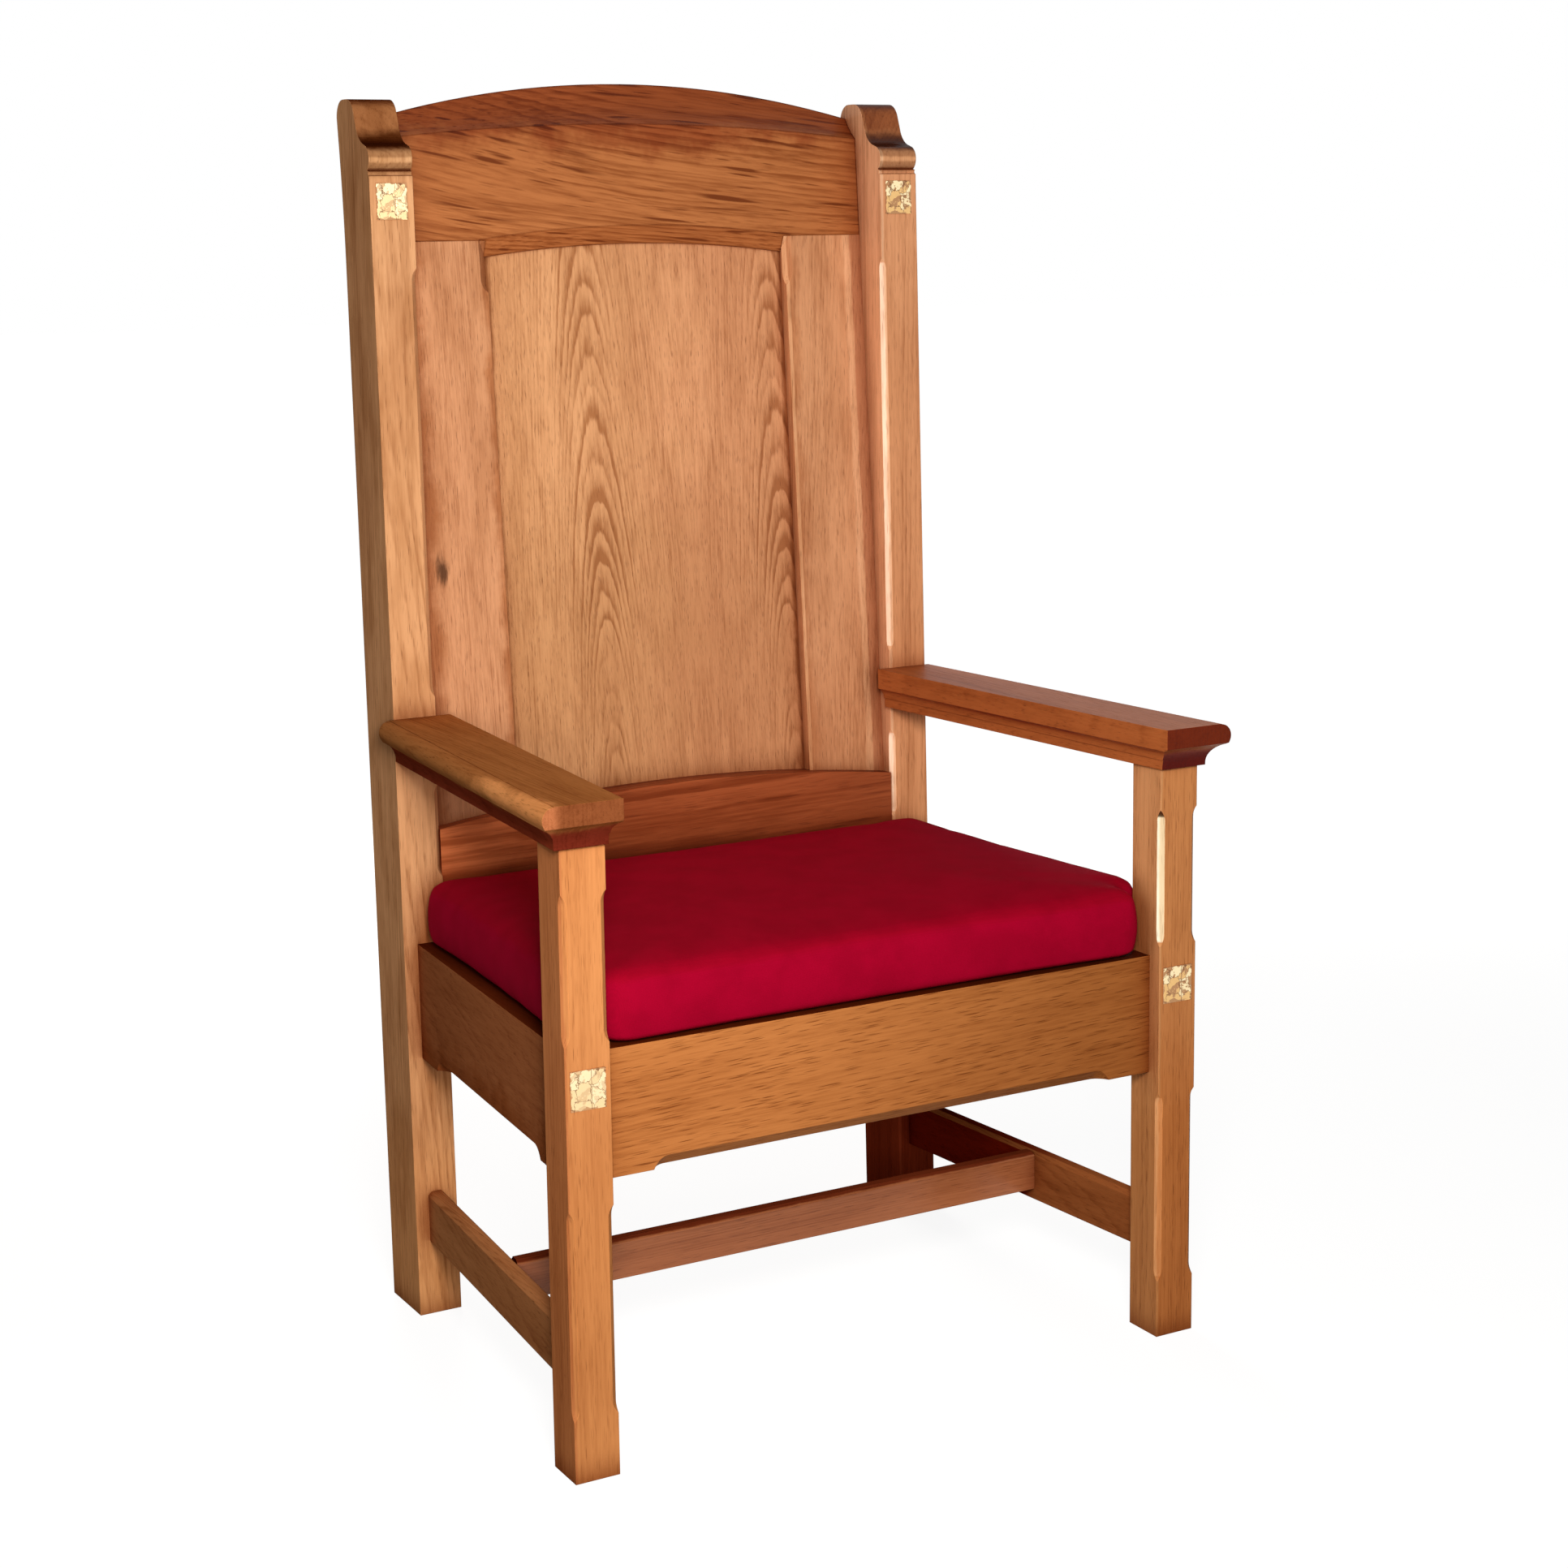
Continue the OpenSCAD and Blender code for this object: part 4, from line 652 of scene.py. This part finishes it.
slack = 0.0015
swell = 0.003
steps = 20
start = points(pad.data) - slack * outward(pad.data)
pad.data.vertices.foreach_set("co", start.ravel())
cloth = pad.modifiers.new("cloth", "CLOTH")
cloth.settings.quality = 6
cloth.settings.mass = 0.3
cloth.settings.use_pressure = True
cloth.settings.uniform_pressure_force = 4.0
cloth.settings.effector_weights.gravity = 0.0
for moment in range(1, steps + 1):
    bpy.context.scene.frame_set(moment)
blown = points(pad.evaluated_get(bpy.context.evaluated_depsgraph_get()).data)
pad.modifiers.clear()
bpy.context.scene.frame_set(1)
move = blown - start
reach = np.linalg.norm(move, axis=1, keepdims=True)
move *= np.minimum(1.0, swell / np.maximum(reach, 1e-9))
start = start + move
# The cushion's weight squares its lower edge, which the remesh leaves round: over the lowest few
# millimetres the sides are pushed out by as much as a quarter circle of the radius foot falls short of them.
# The whole is settled as well, wider from side to side and lower.
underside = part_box("cushion")[0].z
above = np.clip(start[:, 2] - underside, 0.0, None)
foot = 0.009
push = 1.3
most_push = 0.006
wider = 1.014
lower = 0.95
clearance = 0.0005
round_off = foot - np.sqrt(foot ** 2 - np.clip(foot - above, 0.0, foot) ** 2)
start[:, :2] += np.clip(push * round_off, 0.0, most_push)[:, None] * outward(pad.data)[:, :2]
start[:, 0] *= wider
start[:, 2] = underside + clearance + lower * above
pad.data.vertices.foreach_set("co", start.ravel())
smooth = pad.modifiers.new("smooth", "SUBSURF")
smooth.levels = 1
smooth.render_levels = 1
applied(pad)
pad.data.polygons.foreach_set("use_smooth", np.ones(len(pad.data.polygons), bool))


def crimson_cloth():
    """Closely woven crimson wool cloth: threads crossing as products of sines, with a slow unevenness of the
    nap. The border is painted brighter and pinker than the top, as a painted sheen."""
    made = bpy.data.materials.new("crimson_cloth")
    made.use_nodes = True
    tree = made.node_tree
    shader = tree.nodes["Principled BSDF"]
    at = put(tree, "TexCoord").outputs["Object"]
    nap = cloud(tree, at, (26.0, 26.0, 26.0), 3.0).outputs[0]
    lint = cloud(tree, at, (1500.0, 1500.0, 1500.0), 2.0).outputs[0]
    threads = put(tree, "VectorMath", {0: at, 1: (5200.0, 5200.0, 5200.0)}, operation="MULTIPLY").outputs[0]
    threads = put(tree, "VectorMath", {0: threads}, operation="SINE").outputs[0]
    over = put(tree, "SeparateXYZ", {0: threads}).outputs
    weave = calc(tree, "MULTIPLY", over[0], over[1])
    weave = calc(tree, "ADD", weave, calc(tree, "MULTIPLY", over[1], over[2]))
    weave = calc(tree, "ADD", weave, calc(tree, "MULTIPLY", over[0], over[2]))
    deep = mixed(tree, step_up(tree, nap, 0.3, 0.7), paint(174, 5, 38), paint(160, 4, 33))
    # The border is painted brighter and pinker than the top: painted sheen.
    upward = put(tree, "SeparateXYZ", {0: put(tree, "TexCoord").outputs["Normal"]}).outputs[2]
    border = step_up(tree, calc(tree, "ABSOLUTE", upward), 0.75, 0.25)
    deep = tinted(tree, border, deep, (1.12, 0.8, 1.5, 1.0))
    lint_shade, thread_shade = 0.5, 0.08
    darker = calc(tree, "MULTIPLY_ADD", lint, lint_shade, calc(tree, "MULTIPLY", weave, thread_shade))
    feed(tree, shader.inputs["Base Color"], mixed(tree, darker, deep, paint(140, 2, 28)))
    shader.inputs["Roughness"].default_value = 0.85
    shader.inputs["Specular IOR Level"].default_value = 0.03
    shader.inputs["Sheen Weight"].default_value = 0.05
    shader.inputs["Sheen Roughness"].default_value = 0.4
    shader.inputs["Sheen Tint"].default_value = paint(214, 40, 76)
    bump = put(tree, "Bump", {"Height": calc(tree, "MULTIPLY_ADD", weave, 0.4, lint), "Strength": 0.35,
                              "Distance": 0.0003})
    feed(tree, shader.inputs["Normal"], bump.outputs[0])
    return made


pad.data.materials.append(crimson_cloth())
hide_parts("cushion")
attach(pad, "cushion")


# The studio: the camera left of the chair at chest height, one soft lamp close by in front of the chair, a
# weaker one under the camera, one low behind the chair, a little light from all round, and a white floor
# that keeps a pale shadow. The camera's place, turns and lens were fitted to the chair's straight edges.
yaw, pitch, roll = 0.5111, -0.1615, -0.0139
stand = Vector((-1.3444, -2.4513, 1.1381))
ahead = Vector((math.sin(yaw) * math.cos(pitch), math.cos(yaw) * math.cos(pitch), math.sin(pitch)))
level = Vector((math.cos(yaw), -math.sin(yaw), 0.0))
upward = level.cross(ahead)
right = math.cos(roll) * level + math.sin(roll) * upward
top = math.cos(roll) * upward - math.sin(roll) * level
camera = bpy.data.objects.new("camera", bpy.data.cameras.new("camera"))
camera.matrix_world = Matrix.Translation(stand) @ Matrix((right, top, -ahead)).transposed().to_4x4()
camera.data.lens = 63.55
camera.data.sensor_width = 36.0
camera.data.shift_y = -0.069
bpy.context.scene.collection.objects.link(camera)
bpy.context.scene.camera = camera


def hang_lamp(name, place, aim, size, watts):
    """A round soft lamp at a place, turned toward its aim."""
    lamp = bpy.data.objects.new(name, bpy.data.lights.new(name, "AREA"))
    lamp.data.shape = "DISK"
    lamp.data.size = size
    lamp.data.energy = watts
    lamp.data.color = (1.0, 0.97, 0.93)
    lamp.location = place
    lamp.rotation_euler = (Vector(aim) - Vector(place)).to_track_quat("-Z", "Y").to_euler()
    bpy.context.scene.collection.objects.link(lamp)


hang_lamp("front_lamp", (-0.85, -1.8, 1.35), (0.0, 0.0, 0.75), 0.55, 31.0)
hang_lamp("lamp_by_camera", (-1.3, -2.4, 0.95), (0.0, 0.0, 0.7), 0.6, 20.0)
hang_lamp("rear_lamp", (0.5, 2.6, 0.95), (0.0, 0.0, 0.6), 1.0, 40.0)


def seen_ray(tree):
    """One for a ray from the camera or from a shiny or clear surface, and nothing for light on things."""
    path = put(tree, "LightPath").outputs
    clear = calc(tree, "MAXIMUM", path["Is Glossy Ray"], path["Is Transmission Ray"])
    return calc(tree, "MAXIMUM", path["Is Camera Ray"], clear)


world = bpy.data.worlds.new("studio")
bpy.context.scene.world = world
world.use_nodes = True
tree = world.node_tree
tree.nodes.clear()
around = put(tree, "Background", {"Color": (1.0, 0.98, 0.96, 1.0), "Strength": 0.07})
white = put(tree, "Background", {"Color": (1.0, 1.0, 1.0, 1.0), "Strength": 1.0})
both = put(tree, "MixShader", {0: seen_ray(tree), 1: around.outputs[0], 2: white.outputs[0]})
tree.links.new(both.outputs[0], put(tree, "OutputWorld").inputs[0])

half = 30.0
corners = [(-half, -half, 0.0), (half, -half, 0.0), (half, half, 0.0), (-half, half, 0.0)]
floor_mesh = bpy.data.meshes.new("floor")
floor_mesh.from_pydata(corners, [], [(0, 1, 2, 3)])
floor = bpy.data.objects.new("floor", floor_mesh)
bpy.context.scene.collection.objects.link(floor)
floor_paint = bpy.data.materials.new("floor_paint")
floor_paint.use_nodes = True
tree = floor_paint.node_tree
tree.nodes.clear()
matt = put(tree, "BsdfDiffuse", {"Color": (0.2, 0.2, 0.2, 1.0)})
spot = put(tree, "TexCoord").outputs["Object"]
away = put(tree, "VectorMath", {0: spot}, operation="LENGTH").outputs["Value"]
pale = step_up(tree, away, 1.2, 2.9, 0.9, 1.0)
seen = calc(tree, "MULTIPLY", seen_ray(tree), pale)
glow = put(tree, "Emission", {"Color": (1.0, 1.0, 1.0, 1.0), "Strength": seen})
both = put(tree, "AddShader", {0: matt.outputs[0], 1: glow.outputs[0]})
tree.links.new(both.outputs[0], put(tree, "OutputMaterial").inputs[0])
floor_mesh.materials.append(floor_paint)

bpy.context.scene.view_settings.view_transform = "Standard"
